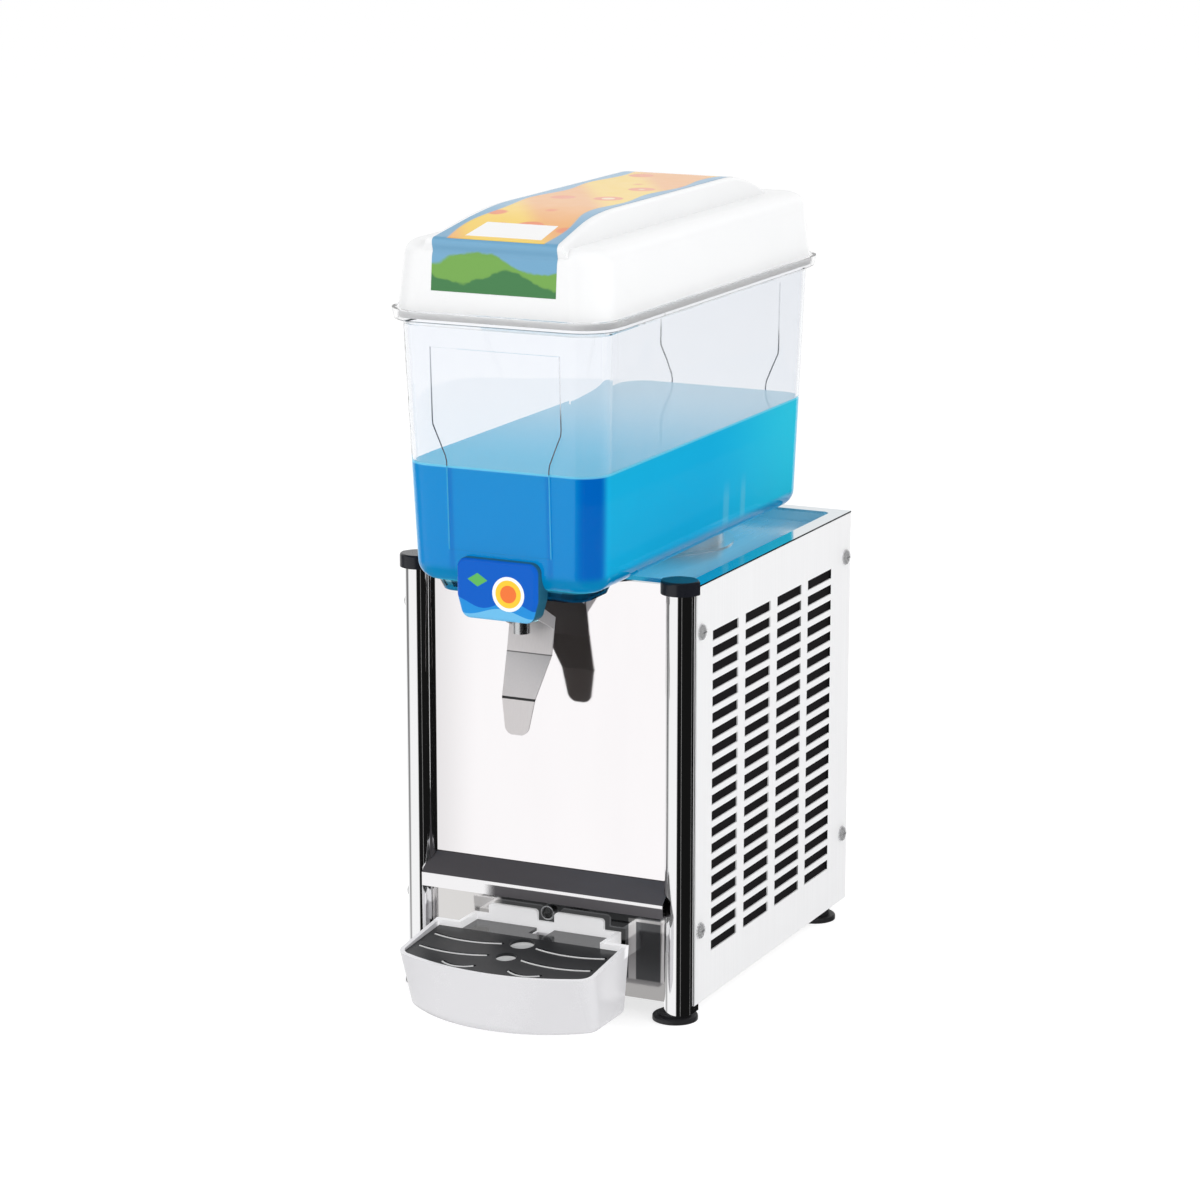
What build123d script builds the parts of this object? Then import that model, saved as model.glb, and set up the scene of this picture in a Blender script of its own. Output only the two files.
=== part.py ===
"""Refrigerated juice dispenser with one clear tank, a push-lever tap and a drip tray.

Millimetres. +Z is up, the front faces -Y and +X is to the right of someone facing the front.
The origin is on the floor, at the middle of the machine's width and depth.
"""
import os
from math import atan2, cos, sin

from build123d import *

# Cabinet
cabinet_width = 253.0
cabinet_depth = 315.0
cabinet_height = 337.0
foot_height = 12.0
sheet = 1.2
flange = 12.0
fold_radius = 1.0

# Clearances
fit = 0.2
slack = 0.3
running = 0.05

# Louvres in each side panel
louvre_columns = 4
louvre_rows = 20
louvre_length = 50.0
louvre_height = 8.1
louvre_gap = 14.0
louvre_pitch = 13.2
louvre_front_margin = 30.0
louvre_bottom_margin = 37.0

# Screws of the side panels
screw_head = 13.0
screw_height = 3.2
screw_front_margin = 8.0
screw_back_margin = 12.0
screw_top_margin = 36.0
screw_bottom_margin = 60.0

# Corner posts, caps and feet
post_diameter = 24.0
post_wall = 1.5
post_leg = 10.0
post_inset = 1.5
cap_overhang = 4.0
cap_height = 4.5
cap_round = 2.0
cap_tail = 12.0
cap_plug = 10.0
cap_skirt = 5.0
foot_diameter = 36.0
foot_neck = 26.0
foot_disc = 4.0
foot_round = 1.5
foot_inset = 3.5
post_drop = 6.0
back_foot_margin = 29.0

# Front: knee ledge under the polished panel
ledge_height = 99.0
ledge_reach = 16.5
ledge_drop = 15.0
lip_height = 11.0
ledge_tab = 10.0
ledge_flare = 4.5

# Top deck
deck_rim = 12.0
deck_recess = 10.0
deck_corner = 8.0

# Evaporator and stirrer
evaporator_setback = 181.0
cup_radius = 45.0
cup_height = 60.0
cup_round = 8.0
boss_radius = 64.0
boss_flange = 8.0
stud_radius = 4.0
stud_height = 16.0
coil_tube = 6.0
coil_turns = 6
paddle_radius = 40.0
paddle_height = 12.0
paddle_hub = 11.0
paddle_blade = 3.0
paddle_blades = 4
magnet_radius = 32.0
magnet_height = 10.0
shaft_radius = 4.0
motor_radius = 30.0
motor_height = 48.0
motor_plate_radius = 60.0
motor_plate = 2.0
deck_hole_radius = 46.0
insulation_thickness = 20.0

# Tank
tank_gap = 2.0
tank_wall = 3.0
tank_floor_width = 160.0
tank_neck_width = 173.0
tank_front_overhang = 90.5
tank_rear_overhang = 19.0
tank_end_draft = 16.0
tank_neck_height = 199.0
tank_corner = 24.0
tank_floor_round = 15.0
tank_floor_setback = 1.5
rim_flare = 8.5
rim_shoulder_flare = 7.0
rim_shoulder_height = 4.0
rim_height = 12.0
seal_gap = 4.0
seal_lip = 5.0
seal_thickness = 2.0
juice_height = 93.0
front_pad_half_width = 54.0
front_pad_foot_half_width = 43.0
front_pad_low = 28.0
front_pad_knee_low = 98.0
front_pad_knee_high = 126.0
front_pad_high = 184.0
front_pad_proud = 0.9

# Sump under the tank's front
sump_width = 132.0
sump_length = 64.0
sump_depth = 8.0
sump_slope = 4.0
sump_setback = 41.0

# Tap
tap_setback = 34.0
tap_depth = 29.0
tap_radius = 17.0
tap_wall = 3.0
tap_floor = 2.5
outlet_radius = 5.0
nozzle_radius = 6.5
nozzle_bore = 4.5
nozzle_length = 12.0
cover_proud = 8.5
cover_depth = 17.5
cover_top_width = 69.0
cover_foot_width = 59.0
cover_height = 47.0
cover_below_floor = 23.0
cover_corner = 8.0
cover_round = 4.0
cover_wall = 2.0
cover_boss_width = 18.0
cover_boss_height = 11.0

# Push lever and valve
lever_sheet = 1.5
lever_width = 38.4
lever_knee_width = 28.0
lever_end_width = 18.6
lever_arm = 11.0
lever_shaft_radius = 2.5
lever_shaft_rise = 9.0
lever_eye = 6.0
lever_cheek = 11.0
lever_top_drop = 2.0
lever_top_setback = 20.0
lever_fold_setback = 14.0
lever_fold_drop = 31.0
lever_knee_reach = 5.0
lever_knee_drop = 63.0
lever_end_reach = 8.6
lever_end_drop = 91.0
stem_radius = 4.0
stem_top = 27.5
valve_radius = 8.0
valve_seal_height = 3.0
collar_rise = 12.3
collar_height = 1.5
prong_height = 2.5
prong_step = 1.5
prong_reach = 3.0
spring_radius = 5.8
spring_wire = 0.5
spring_turns = 3
guide_rise = 22.5
guide_height = 2.5
guide_width = 8.0

# Lid
lid_gap = 2.0
lid_wall = 2.5
lid_sink = 6.0
lid_wall_height = 58.0
lid_taper = 5.0
lid_corner = 26.0
lid_round = 13.0
ridge_height = 18.0
ridge_foot_width = 126.0
ridge_top_width = 100.0
ridge_front_slope = 80.0
ridge_back_slope = 50.0
ridge_front_proud = 2.0
ridge_back_margin = 12.0
ridge_fold_rise = 3.0
ridge_round = 4.0
ridge_front_arch = 380.0
ridge_back_arch = 110.0

# Drip tray and its grille
tray_reach = 117.0
tray_width = 168.0
tray_gap = 31.5
tray_bow = 16.0
tray_corner = 14.0
tray_rim_rise = 53.7
tray_rim_fall = 10.3
tray_depth = 57.0
tray_draft = 3.0
tray_back_draft = 3.0
tray_front_draft = 19.0
tray_foot_bow = 34.0
tray_floor_round = 6.0
tray_wall = 3.0
tray_rim_width = 3.5
grille_sink = 4.5
grille_front_sink = 0.5
grille_thickness = 2.5
grille_gap = 0.5
heel_width = 129.0
heel_gap = 4.0
heel_depth = 24.0
heel_pocket = 8.0
tab_height = 9.0
tab_thickness = 3.0
tab_width = 43.0
tab_notch = 15.0
tongue_width = 30.0
tongue_thickness = 3.0
tongue_length = 58.0
tongue_drop = 20.0
tongue_spacing = 58.0
tongue_clearance = 0.5
pocket_wall = 2.0
bracket_width = 100.0
bracket_height = 14.0
bracket_plate = 2.0
grille_slot = 3.0
grille_slot_start = 15.0
grille_slot_bow = 5.0
grille_rows = ((21.0, 74.0), (47.0, 74.0), (70.0, 42.0))
grille_cup_holes = ((17.0, 10.0), (45.5, 8.5))

# Drain
spout_rise = 60.4
spout_radius = 6.0
spout_bore = 4.5
spout_reach = 4.0
spout_tail = 12.0
drain_setback = 26.0
drain_bend = 9.0

# Refrigeration unit
compressor_radius = 54.0
compressor_height = 125.0
compressor_x = -50.0
compressor_back_margin = 100.0
compressor_round = 22.0
compressor_seam = 3.0
compressor_plate = 2.5
compressor_plate_width = 100.0
compressor_plate_depth = 140.0
mount_radius = 9.0
mount_height = 12.0
stub_radius = 5.0
stub_height = 8.0
condenser_thickness = 28.0
condenser_depth = 180.0
condenser_height = 192.0
condenser_setback = 78.0
condenser_gap = 2.5
fin_count = 22
fin_groove = 4.0
fin_groove_depth = 9.0
fan_radius = 64.0
fan_hub = 17.0
fan_hub_length = 14.0
fan_blades = 5
fan_blade_thickness = 2.0
fan_blade_width = 30.0
fan_pitch = 28.0
fan_spindle_radius = 3.0
shroud_thickness = 4.0
shroud_ring = 14.0
fan_motor_radius = 27.0
fan_motor_length = 36.0
strap_width = 14.0
strap_thickness = 3.0
strap_margin = 12.0
drier_radius = 10.0
drier_length = 70.0
drier_height = 26.0
suction_radius = 4.0
discharge_radius = 3.0
capillary_radius = 1.5
pipe_bend = 10.0

# Controls on the back panel
control_height = 265.0
switch_spacing = 42.0
switch_x = -42.0
bezel_width = 20.0
bezel_height = 30.0
bezel_lip = 2.0
bezel_depth = 16.0
bezel_wall = 1.5
rocker_width = 12.4
rocker_height = 19.2
rocker_gap = 0.6
rocker_face = 5.0
rocker_crown = 2.0
rocker_back = 4.0
rocker_tilt = 8.0
rocker_pin = 1.5
rocker_pivot_depth = 4.0
knob_radius = 16.0
knob_height = 14.0
knob_x = 44.0
knob_ribs = 12
thermostat_width = 36.0
thermostat_height = 30.0
thermostat_depth = 26.0
spindle_radius = 3.0
spindle_clearance = 1.0
gland_side_margin = 42.5
gland_height = 45.0
gland_radius = 11.0
gland_bore = 4.5
gland_lip = 2.0
gland_length = 12.0
vent_columns = 3
vent_rows = 9
vent_length = 50.0
vent_height = 5.0
vent_gap = 14.0
vent_pitch = 12.0
vent_bottom_margin = 70.0

# Places worked out from the dimensions above
half_width = cabinet_width / 2
base_z = foot_height
cabinet_top = base_z + cabinet_height
panel_top = cabinet_top - sheet
front_y = (tray_reach - cabinet_depth - tank_rear_overhang) / 2
back_y = front_y + cabinet_depth
middle_y = (front_y + back_y) / 2
inner_half_width = half_width - sheet
pan_floor = base_z + 2 * sheet
back_panel_y = back_y - sheet
gland_x = half_width - gland_side_margin

post_radius = post_diameter / 2
post_x = half_width - post_inset - post_radius
panel_half_width = post_x - post_radius
post_bottom = base_z - post_drop

ledge_top = base_z + ledge_height
lip_top = ledge_top - ledge_drop
lip_bottom = lip_top - lip_height

deck_floor = cabinet_top - deck_recess
deck_underside = deck_floor - sheet
evaporator_y = front_y + evaporator_setback
boss_top = cabinet_top - sheet / 2
tank_bottom = cabinet_top + tank_gap
cup_top = tank_bottom + cup_height
cup_inner = cup_radius - sheet

tank_neck = tank_bottom + tank_neck_height
rim_shoulder = tank_neck + rim_shoulder_height
rim_top = tank_neck + rim_height
tank_neck_length = tank_front_overhang + cabinet_depth + tank_rear_overhang - rim_flare
tank_floor_length = tank_neck_length - tank_end_draft
neck_y = front_y - tank_front_overhang + tank_neck_length / 2
floor_y = neck_y + tank_floor_setback
tank_hole_radius = cup_radius + seal_gap
seal_radius = tank_hole_radius + seal_lip
tank_floor = tank_bottom + tank_wall
juice_top = tank_bottom + juice_height

floor_front = floor_y - tank_floor_length / 2
tap_y = floor_front + tap_setback
sump_bottom = tank_bottom - sump_depth
tap_bottom = tank_bottom - tap_depth
tap_bore = tap_radius - tap_wall
lever_shaft_z = tap_bottom + lever_shaft_rise
lever_shaft_y = tap_y - lever_arm
cover_front = floor_front - cover_proud
cover_middle_z = tank_bottom - cover_below_floor + cover_height / 2

lid_base = rim_top - lid_sink
lid_top = lid_base + lid_wall_height
lid_width = tank_neck_width + 2 * (rim_flare - tank_wall - lid_gap)
lid_length = tank_neck_length + 2 * (rim_flare - tank_wall - lid_gap)

tray_back = front_y - tray_gap
tray_rim_z = base_z + tray_rim_rise
tray_floor_z = tray_rim_z - tray_depth
tray_length = tray_reach - tray_gap
tongue_z = tray_rim_z - tongue_drop
spout_z = base_z + spout_rise

os.makedirs("parts", exist_ok=True)


def write(piece, name):
    """Label a finished piece and write it as its own STEP file."""
    piece.part.label = name
    export_step(piece.part, f"parts/{name}.step")


def upright_section(y):
    """The vertical plane across the machine at one depth, with X and Z as its axes."""
    return Plane.XZ.offset(-y)


def upright_axis(x, y):
    """The vertical axis through one point of the plan."""
    return Axis((x, y, 0), (0, 0, 1))


def pipe(points, radius, bend):
    """A round pipe along straight runs joined by tangent bends."""
    with BuildPart() as tube:
        with BuildLine() as route:
            FilletPolyline(*points, radius=bend)
        with BuildSketch(Plane(origin=route.line @ 0, z_dir=route.line % 0)):
            Circle(radius)
        sweep(path=route.line)
    return tube


# Side panels: folded sheets with a field of louvre slots
louvre_field_depth = louvre_columns * louvre_length + (louvre_columns - 1) * louvre_gap
louvre_middle_y = front_y + louvre_front_margin + louvre_field_depth / 2
louvre_field_height = (louvre_rows - 1) * louvre_pitch + louvre_height
louvre_middle_z = base_z + louvre_bottom_margin + louvre_field_height / 2


def side_panel(side):
    """The left (-1) or right (+1) side panel, open to the inside and at its front edge."""
    with BuildPart() as panel:
        with BuildSketch(Plane.YZ.offset(side * (half_width - flange))):
            with Locations((middle_y, (base_z + panel_top) / 2)):
                Rectangle(cabinet_depth, panel_top - base_z)
        extrude(amount=side * flange)
        outer = panel.faces().sort_by(Axis.X)[-1 if side > 0 else 0]
        fillet(outer.edges().filter_by(Axis.Y) + outer.edges().sort_by(Axis.Y)[-1:], radius=fold_radius)
        with BuildSketch(Plane.YZ.offset(side * (half_width - flange))):
            with Locations((middle_y - sheet, (base_z + panel_top) / 2)):
                Rectangle(cabinet_depth, panel_top - base_z - 2 * sheet)
        extrude(amount=side * (flange - sheet), mode=Mode.SUBTRACT)
        with BuildSketch(Plane.YZ.offset(side * (half_width - flange))):
            with Locations((front_y, (base_z + panel_top) / 2)):
                Rectangle(2 * (post_leg + fit), panel_top - base_z)
        extrude(amount=side * (flange - sheet), mode=Mode.SUBTRACT)
        with BuildSketch(Plane.YZ.offset(side * half_width)):
            with Locations((louvre_middle_y, louvre_middle_z)):
                with GridLocations(louvre_length + louvre_gap, louvre_pitch, louvre_columns, louvre_rows):
                    Rectangle(louvre_length, louvre_height)
        extrude(amount=-side * sheet, mode=Mode.SUBTRACT)
    return panel


write(side_panel(-1), "left_side_panel")
write(side_panel(1), "right_side_panel")

# Screws that hold the side panels
screw_places = [
    (y, z)
    for y in (front_y + screw_front_margin, back_y - screw_back_margin)
    for z in (base_z + screw_bottom_margin, panel_top - screw_top_margin)
]
with BuildPart() as panel_screws:
    for side in (-1, 1):
        with BuildSketch(Plane.YZ.offset(side * half_width)):
            with Locations(*screw_places):
                Circle(screw_head / 2)
        extrude(amount=side * screw_height, taper=25)
write(panel_screws, "panel_screws")

# Corner posts: half-round fronts with two legs that reach back into the cabinet


def corner_post(side):
    """A hollow post with a round front, open at the back."""
    with BuildPart() as post:
        with BuildSketch(Plane.XY.offset(post_bottom)):
            with Locations((side * post_x, front_y)):
                Circle(post_radius)
            with Locations((side * post_x, front_y + post_leg / 2)):
                Rectangle(post_diameter, post_leg)
            with Locations((side * post_x, front_y)):
                Circle(post_radius - post_wall, mode=Mode.SUBTRACT)
            with Locations((side * post_x, front_y + post_leg)):
                Rectangle(post_diameter - 2 * post_wall, 2 * post_leg, mode=Mode.SUBTRACT)
        extrude(amount=panel_top - post_bottom)
    return post


write(corner_post(-1), "left_corner_post")
write(corner_post(1), "right_corner_post")

# Caps on the posts: a rounded nose over the post and a tail that lies on the deck
cap_radius = post_radius + cap_overhang
with BuildPart() as post_caps:
    for side in (-1, 1):
        with BuildSketch(Plane.XY.offset(cabinet_top)):
            with Locations((side * post_x, front_y)):
                Circle(cap_radius)
            with Locations((side * post_x, front_y + cap_radius)):
                Rectangle(2 * cap_radius, 2 * cap_radius, mode=Mode.SUBTRACT)
            with Locations((side * post_x, front_y)):
                Polygon(
                    (-cap_radius, 0),
                    (cap_radius, 0),
                    (post_radius, cap_tail * 0.6),
                    (post_radius / 2, cap_tail),
                    (-post_radius / 2, cap_tail),
                    (-post_radius, cap_tail * 0.6),
                    align=None,
                )
        extrude(amount=cap_height)
    fillet(post_caps.faces().filter_by(Axis.Z).group_by(Axis.Z)[-1].edges(), radius=cap_round)
    for side in (-1, 1):
        for radius, low in ((cap_radius, panel_top), (post_radius - post_wall - fit, panel_top - cap_plug)):
            with BuildSketch(Plane.XY.offset(low)):
                with Locations((side * post_x, front_y)):
                    Circle(radius)
                with Locations((side * post_x, front_y + cap_radius)):
                    Rectangle(2 * cap_radius, 2 * cap_radius, mode=Mode.SUBTRACT)
            extrude(amount=cabinet_top - low)
        with BuildSketch(Plane.XY.offset(panel_top - cap_skirt)):
            with Locations((side * post_x, front_y)):
                Circle(cap_radius)
                Circle(post_radius + fit, mode=Mode.SUBTRACT)
            with Locations((side * post_x, front_y - fit + cap_radius)):
                Rectangle(2 * cap_radius, 2 * cap_radius, mode=Mode.SUBTRACT)
        extrude(amount=cap_skirt)
write(post_caps, "post_caps")

# Feet: round rubber discs with a short neck, under the posts and under the back corners
foot_places = [
    (side * (post_x - foot_inset), y, top)
    for side in (-1, 1)
    for y, top in ((front_y, post_bottom), (back_y - back_foot_margin, base_z))
]
with BuildPart() as feet:
    for x, y, top in foot_places:
        with BuildSketch(Plane.XY):
            with Locations((x, y)):
                Circle(foot_diameter / 2)
        extrude(amount=foot_disc)
    fillet(feet.faces().filter_by(Axis.Z).group_by(Axis.Z)[-1].edges(), radius=foot_round)
    for x, y, top in foot_places:
        with BuildSketch(Plane.XY.offset(foot_disc)):
            with Locations((x, y)):
                Circle(foot_neck / 2)
        extrude(amount=top - foot_disc)
write(feet, "feet")

# Base pan between the side panels, resting on their bottom flanges
pan_front = front_y + post_leg + fit
pan_depth = back_panel_y - sheet - pan_front
with BuildPart() as base_pan:
    with BuildSketch(Plane.XY.offset(base_z + sheet)):
        with Locations((0, pan_front + pan_depth / 2)):
            Rectangle(2 * inner_half_width, pan_depth)
    extrude(amount=flange)
    with BuildSketch(Plane.XY.offset(pan_floor)):
        with Locations((0, pan_front + pan_depth / 2)):
            Rectangle(2 * (inner_half_width - sheet), pan_depth - 2 * sheet)
    extrude(amount=flange, mode=Mode.SUBTRACT)
write(base_pan, "base_pan")

# Front sheets: flat faces with two edges folded back along the posts


def front_sheet(low, high):
    """A polished front sheet between the posts."""
    with BuildPart() as panel:
        with BuildSketch(Plane.XY.offset(low)):
            with Locations((0, front_y + post_leg / 2)):
                Rectangle(2 * panel_half_width, post_leg)
            with Locations((0, front_y + sheet + post_leg / 2)):
                Rectangle(2 * (panel_half_width - sheet), post_leg, mode=Mode.SUBTRACT)
        extrude(amount=high - low)
    return panel


write(front_sheet(ledge_top, panel_top), "front_panel")

with BuildPart() as lower_front_panel:
    add(front_sheet(base_z, lip_bottom).part)
    with BuildSketch(upright_section(front_y)):
        with Locations((0, spout_z)):
            Circle(spout_radius + fit)
    extrude(amount=-sheet, mode=Mode.SUBTRACT)
write(lower_front_panel, "lower_front_panel")

# Knee ledge: one folded sheet between the two front sheets
with BuildPart() as front_ledge:
    with BuildSketch(Plane.YZ.offset(-panel_half_width - ledge_flare)):
        with BuildLine():
            fold = Polyline(
                (front_y + sheet, ledge_top + ledge_tab),
                (front_y + sheet, ledge_top),
                (front_y - ledge_reach, lip_top),
                (front_y - ledge_reach, lip_bottom),
                (front_y + sheet, lip_bottom),
                (front_y + sheet, lip_bottom - ledge_tab),
            )
            offset(fold, amount=sheet, side=Side.LEFT, kind=Kind.INTERSECTION)
        make_face()
    extrude(amount=2 * (panel_half_width + ledge_flare))
    with BuildSketch(Plane.XY.offset(post_bottom)):
        with Locations((0, front_y - fit + post_leg)):
            Rectangle(4 * panel_half_width, 2 * post_leg)
            Rectangle(2 * (panel_half_width - sheet), 2 * post_leg, mode=Mode.SUBTRACT)
        with Locations((-post_x, front_y), (post_x, front_y)):
            Circle(post_radius + fit)
    extrude(amount=panel_top - post_bottom, mode=Mode.SUBTRACT)
    with BuildSketch(upright_section(front_y)):
        with Locations((0, spout_z)):
            Circle(spout_radius + fit)
    extrude(amount=-flange, mode=Mode.SUBTRACT)
write(front_ledge, "front_ledge")

# Back panel with vents, the control openings and the cord gland's hole
vent_field_height = (vent_rows - 1) * vent_pitch
with BuildPart() as back_panel:
    with BuildSketch(upright_section(back_panel_y)):
        with Locations((0, (pan_floor + panel_top - sheet) / 2)):
            Rectangle(2 * inner_half_width, panel_top - sheet - pan_floor)
        with Locations((0, base_z + vent_bottom_margin + vent_field_height / 2)):
            with GridLocations(vent_length + vent_gap, vent_pitch, vent_columns, vent_rows):
                Rectangle(vent_length, vent_height, mode=Mode.SUBTRACT)
        with Locations((switch_x, base_z + control_height)):
            with GridLocations(switch_spacing, 1, 2, 1):
                Rectangle(
                    bezel_width - 2 * bezel_wall + 2 * fit,
                    bezel_height - 2 * bezel_wall + 2 * fit,
                    mode=Mode.SUBTRACT,
                )
        with Locations((knob_x, base_z + control_height)):
            Circle(spindle_radius + spindle_clearance, mode=Mode.SUBTRACT)
        with Locations((gland_x, base_z + gland_height)):
            Circle(gland_radius - gland_lip, mode=Mode.SUBTRACT)
    extrude(amount=sheet)
write(back_panel, "back_panel")

# Top deck: a shallow pan with a flat rim
with BuildPart() as top_deck:
    with BuildSketch(Plane.XY.offset(panel_top)):
        with Locations((0, middle_y)):
            Rectangle(cabinet_width, cabinet_depth)
    extrude(amount=sheet)
    with BuildSketch(Plane.XY.offset(deck_underside)):
        with Locations((0, middle_y)):
            RectangleRounded(cabinet_width - 2 * deck_rim, cabinet_depth - 2 * deck_rim, deck_corner)
    extrude(amount=deck_recess)
    with BuildSketch(Plane.XY.offset(deck_floor)):
        with Locations((0, middle_y)):
            RectangleRounded(
                cabinet_width - 2 * deck_rim - 2 * sheet,
                cabinet_depth - 2 * deck_rim - 2 * sheet,
                deck_corner - sheet,
            )
    extrude(amount=deck_recess, mode=Mode.SUBTRACT)
    with BuildSketch(Plane.XY.offset(deck_underside)):
        with Locations((0, evaporator_y)):
            Circle(deck_hole_radius)
        with Locations((0, front_y + drain_setback)):
            Circle(spout_bore)
    extrude(amount=deck_recess, mode=Mode.SUBTRACT)
write(top_deck, "top_deck")

# Drain from the deck to the spout over the tray
with BuildPart() as drain_spout:
    with BuildSketch(upright_section(front_y + spout_tail)):
        with Locations((0, spout_z)):
            Circle(spout_radius)
            Circle(spout_bore, mode=Mode.SUBTRACT)
    extrude(amount=spout_tail + spout_reach)
    fillet(drain_spout.edges().filter_by(GeomType.CIRCLE).group_by(Axis.Y)[0], radius=sheet / 2)
write(drain_spout, "drain_spout")

drain_route = (
    (0, front_y + drain_setback, deck_underside),
    (0, front_y + drain_setback, spout_z),
    (0, front_y + spout_tail, spout_z),
)
write(pipe(drain_route, spout_radius, drain_bend), "drain_tube")

# Tray bracket: a plate on the lower front panel with two tongues that carry the tray
with BuildPart() as tray_bracket:
    with BuildSketch(upright_section(front_y)):
        with Locations((0, tongue_z)):
            Rectangle(bracket_width, bracket_height)
    extrude(amount=bracket_plate)
    with BuildSketch(upright_section(front_y)):
        with Locations((0, tongue_z)):
            with GridLocations(tongue_spacing, 1, 2, 1):
                Rectangle(tongue_width, tongue_thickness)
    extrude(amount=tongue_length)
write(tray_bracket, "tray_bracket")

# Evaporator cup: a spun stainless dome on a flanged boss, with a stud for the paddle
with BuildPart() as evaporator_cup:
    with BuildSketch(upright_section(evaporator_y)):
        with BuildLine():
            Polyline(
                (boss_radius + boss_flange, deck_floor),
                (boss_radius + boss_flange, deck_floor + sheet),
                (boss_radius, deck_floor + sheet),
                (boss_radius, boss_top),
                (cup_radius, boss_top),
                (cup_radius, cup_top - cup_round),
            )
            RadiusArc((cup_radius, cup_top - cup_round), (cup_radius - cup_round, cup_top), -cup_round)
            Polyline(
                (cup_radius - cup_round, cup_top),
                (stud_radius, cup_top),
                (stud_radius, cup_top + stud_height),
                (0, cup_top + stud_height),
                (0, cup_top - sheet),
                (cup_radius - cup_round, cup_top - sheet),
            )
            RadiusArc(
                (cup_radius - cup_round, cup_top - sheet),
                (cup_inner, cup_top - cup_round),
                cup_round - sheet,
            )
            Polyline(
                (cup_inner, cup_top - cup_round),
                (cup_inner, boss_top - sheet),
                (boss_radius - sheet, boss_top - sheet),
                (boss_radius - sheet, deck_floor),
                (boss_radius + boss_flange, deck_floor),
            )
        make_face()
    revolve(axis=upright_axis(0, evaporator_y))
write(evaporator_cup, "evaporator_cup")

# Evaporator coil: the turns brazed round the inside of the cup
coil_low = boss_top + sheet
coil_middle = cup_inner - fit - coil_tube / 2
with BuildPart() as evaporator_coil:
    with BuildSketch(upright_section(evaporator_y)):
        with Locations((coil_middle, coil_low + coil_tube * coil_turns / 2)):
            Rectangle(coil_tube / 2, coil_tube * (coil_turns - 1))
            with GridLocations(1, coil_tube, 1, coil_turns):
                RegularPolygon(coil_tube / 2, 8)
    revolve(axis=upright_axis(0, evaporator_y))
write(evaporator_coil, "evaporator_coil")

# Insulation slab under the deck
insulation_margin = 3 * flange
with BuildPart() as insulation_slab:
    with BuildSketch(Plane.XY.offset(deck_underside - insulation_thickness)):
        with Locations((0, middle_y)):
            Rectangle(2 * (half_width - insulation_margin), cabinet_depth - 2 * insulation_margin)
        with Locations((0, evaporator_y)):
            Circle(motor_plate_radius + fit, mode=Mode.SUBTRACT)
    extrude(amount=insulation_thickness)
write(insulation_slab, "insulation_slab")

# Stirring motor on its plate, with the magnet that turns the paddle through the cup
motor_top = deck_underside - motor_plate
coil_drop_x = cup_inner - suction_radius - slack
with BuildPart() as motor_mount_plate:
    with BuildSketch(Plane.XY.offset(motor_top)):
        with Locations((0, evaporator_y)):
            Circle(motor_plate_radius)
            Circle(shaft_radius + 2 * sheet, mode=Mode.SUBTRACT)
            with GridLocations(2 * coil_drop_x, 1, 2, 1):
                Circle(suction_radius + 4 * fit, mode=Mode.SUBTRACT)
    extrude(amount=motor_plate)
write(motor_mount_plate, "motor_mount_plate")

motor_bearing = motor_height / 3
with BuildPart() as stir_motor:
    with BuildSketch(Plane.XY.offset(motor_top - motor_height)):
        with Locations((0, evaporator_y)):
            Circle(motor_radius)
    extrude(amount=motor_height)
    fillet(stir_motor.edges().filter_by(GeomType.CIRCLE), radius=2 * sheet)
    with BuildSketch(Plane.XY.offset(motor_top - motor_bearing)):
        with Locations((0, evaporator_y)):
            Circle(shaft_radius + running)
    extrude(amount=motor_bearing, mode=Mode.SUBTRACT)
write(stir_motor, "stir_motor")

magnet_top = cup_top - sheet - 2 * sheet
with BuildPart() as drive_shaft:
    with BuildSketch(Plane.XY.offset(motor_top - motor_bearing + slack)):
        with Locations((0, evaporator_y)):
            Circle(shaft_radius)
    extrude(amount=magnet_top - magnet_height - motor_top + motor_bearing - slack)
write(drive_shaft, "drive_shaft")

with BuildPart() as drive_magnet:
    with BuildSketch(Plane.XY.offset(magnet_top - magnet_height)):
        with Locations((0, evaporator_y)):
            Circle(magnet_radius)
    extrude(amount=magnet_height)
    chamfer(drive_magnet.edges(), length=sheet)
write(drive_magnet, "drive_magnet")

# Mixing paddle: four vanes round a hub that turns on the cup's stud
paddle_low = cup_top + slack
with BuildPart() as mixing_paddle:
    with BuildSketch(Plane.XY.offset(paddle_low)):
        with Locations((0, evaporator_y)):
            Circle(paddle_radius * 0.8)
    extrude(amount=paddle_blade)
    with BuildSketch(Plane.XY.offset(paddle_low)):
        with Locations((0, evaporator_y)):
            Circle(paddle_hub)
            with PolarLocations(paddle_radius / 2, paddle_blades):
                Rectangle(paddle_radius, paddle_blade)
            Circle(paddle_radius, mode=Mode.INTERSECT)
    extrude(amount=paddle_height)
    with BuildSketch(Plane.XY.offset(paddle_low)):
        with Locations((0, evaporator_y)):
            Circle(stud_radius + running)
    extrude(amount=paddle_height, mode=Mode.SUBTRACT)
write(mixing_paddle, "mixing_paddle")

# Tank: a tapered tub with rounded corners and a flared rim


def tank_form(inset, low):
    """The tub as a solid block, drawn in by inset, with its floor at height low."""
    with BuildPart() as form:
        with BuildSketch(Plane.XY.offset(low)):
            with Locations((0, floor_y)):
                RectangleRounded(
                    tank_floor_width - 2 * inset, tank_floor_length - 2 * inset, tank_corner - inset
                )
        with BuildSketch(Plane.XY.offset(tank_neck)):
            with Locations((0, neck_y)):
                RectangleRounded(
                    tank_neck_width - 2 * inset, tank_neck_length - 2 * inset, tank_corner - inset
                )
        loft(ruled=True)
        fillet(form.faces().sort_by(Axis.Z)[0].edges(), radius=tank_floor_round - inset)
    return form


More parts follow.
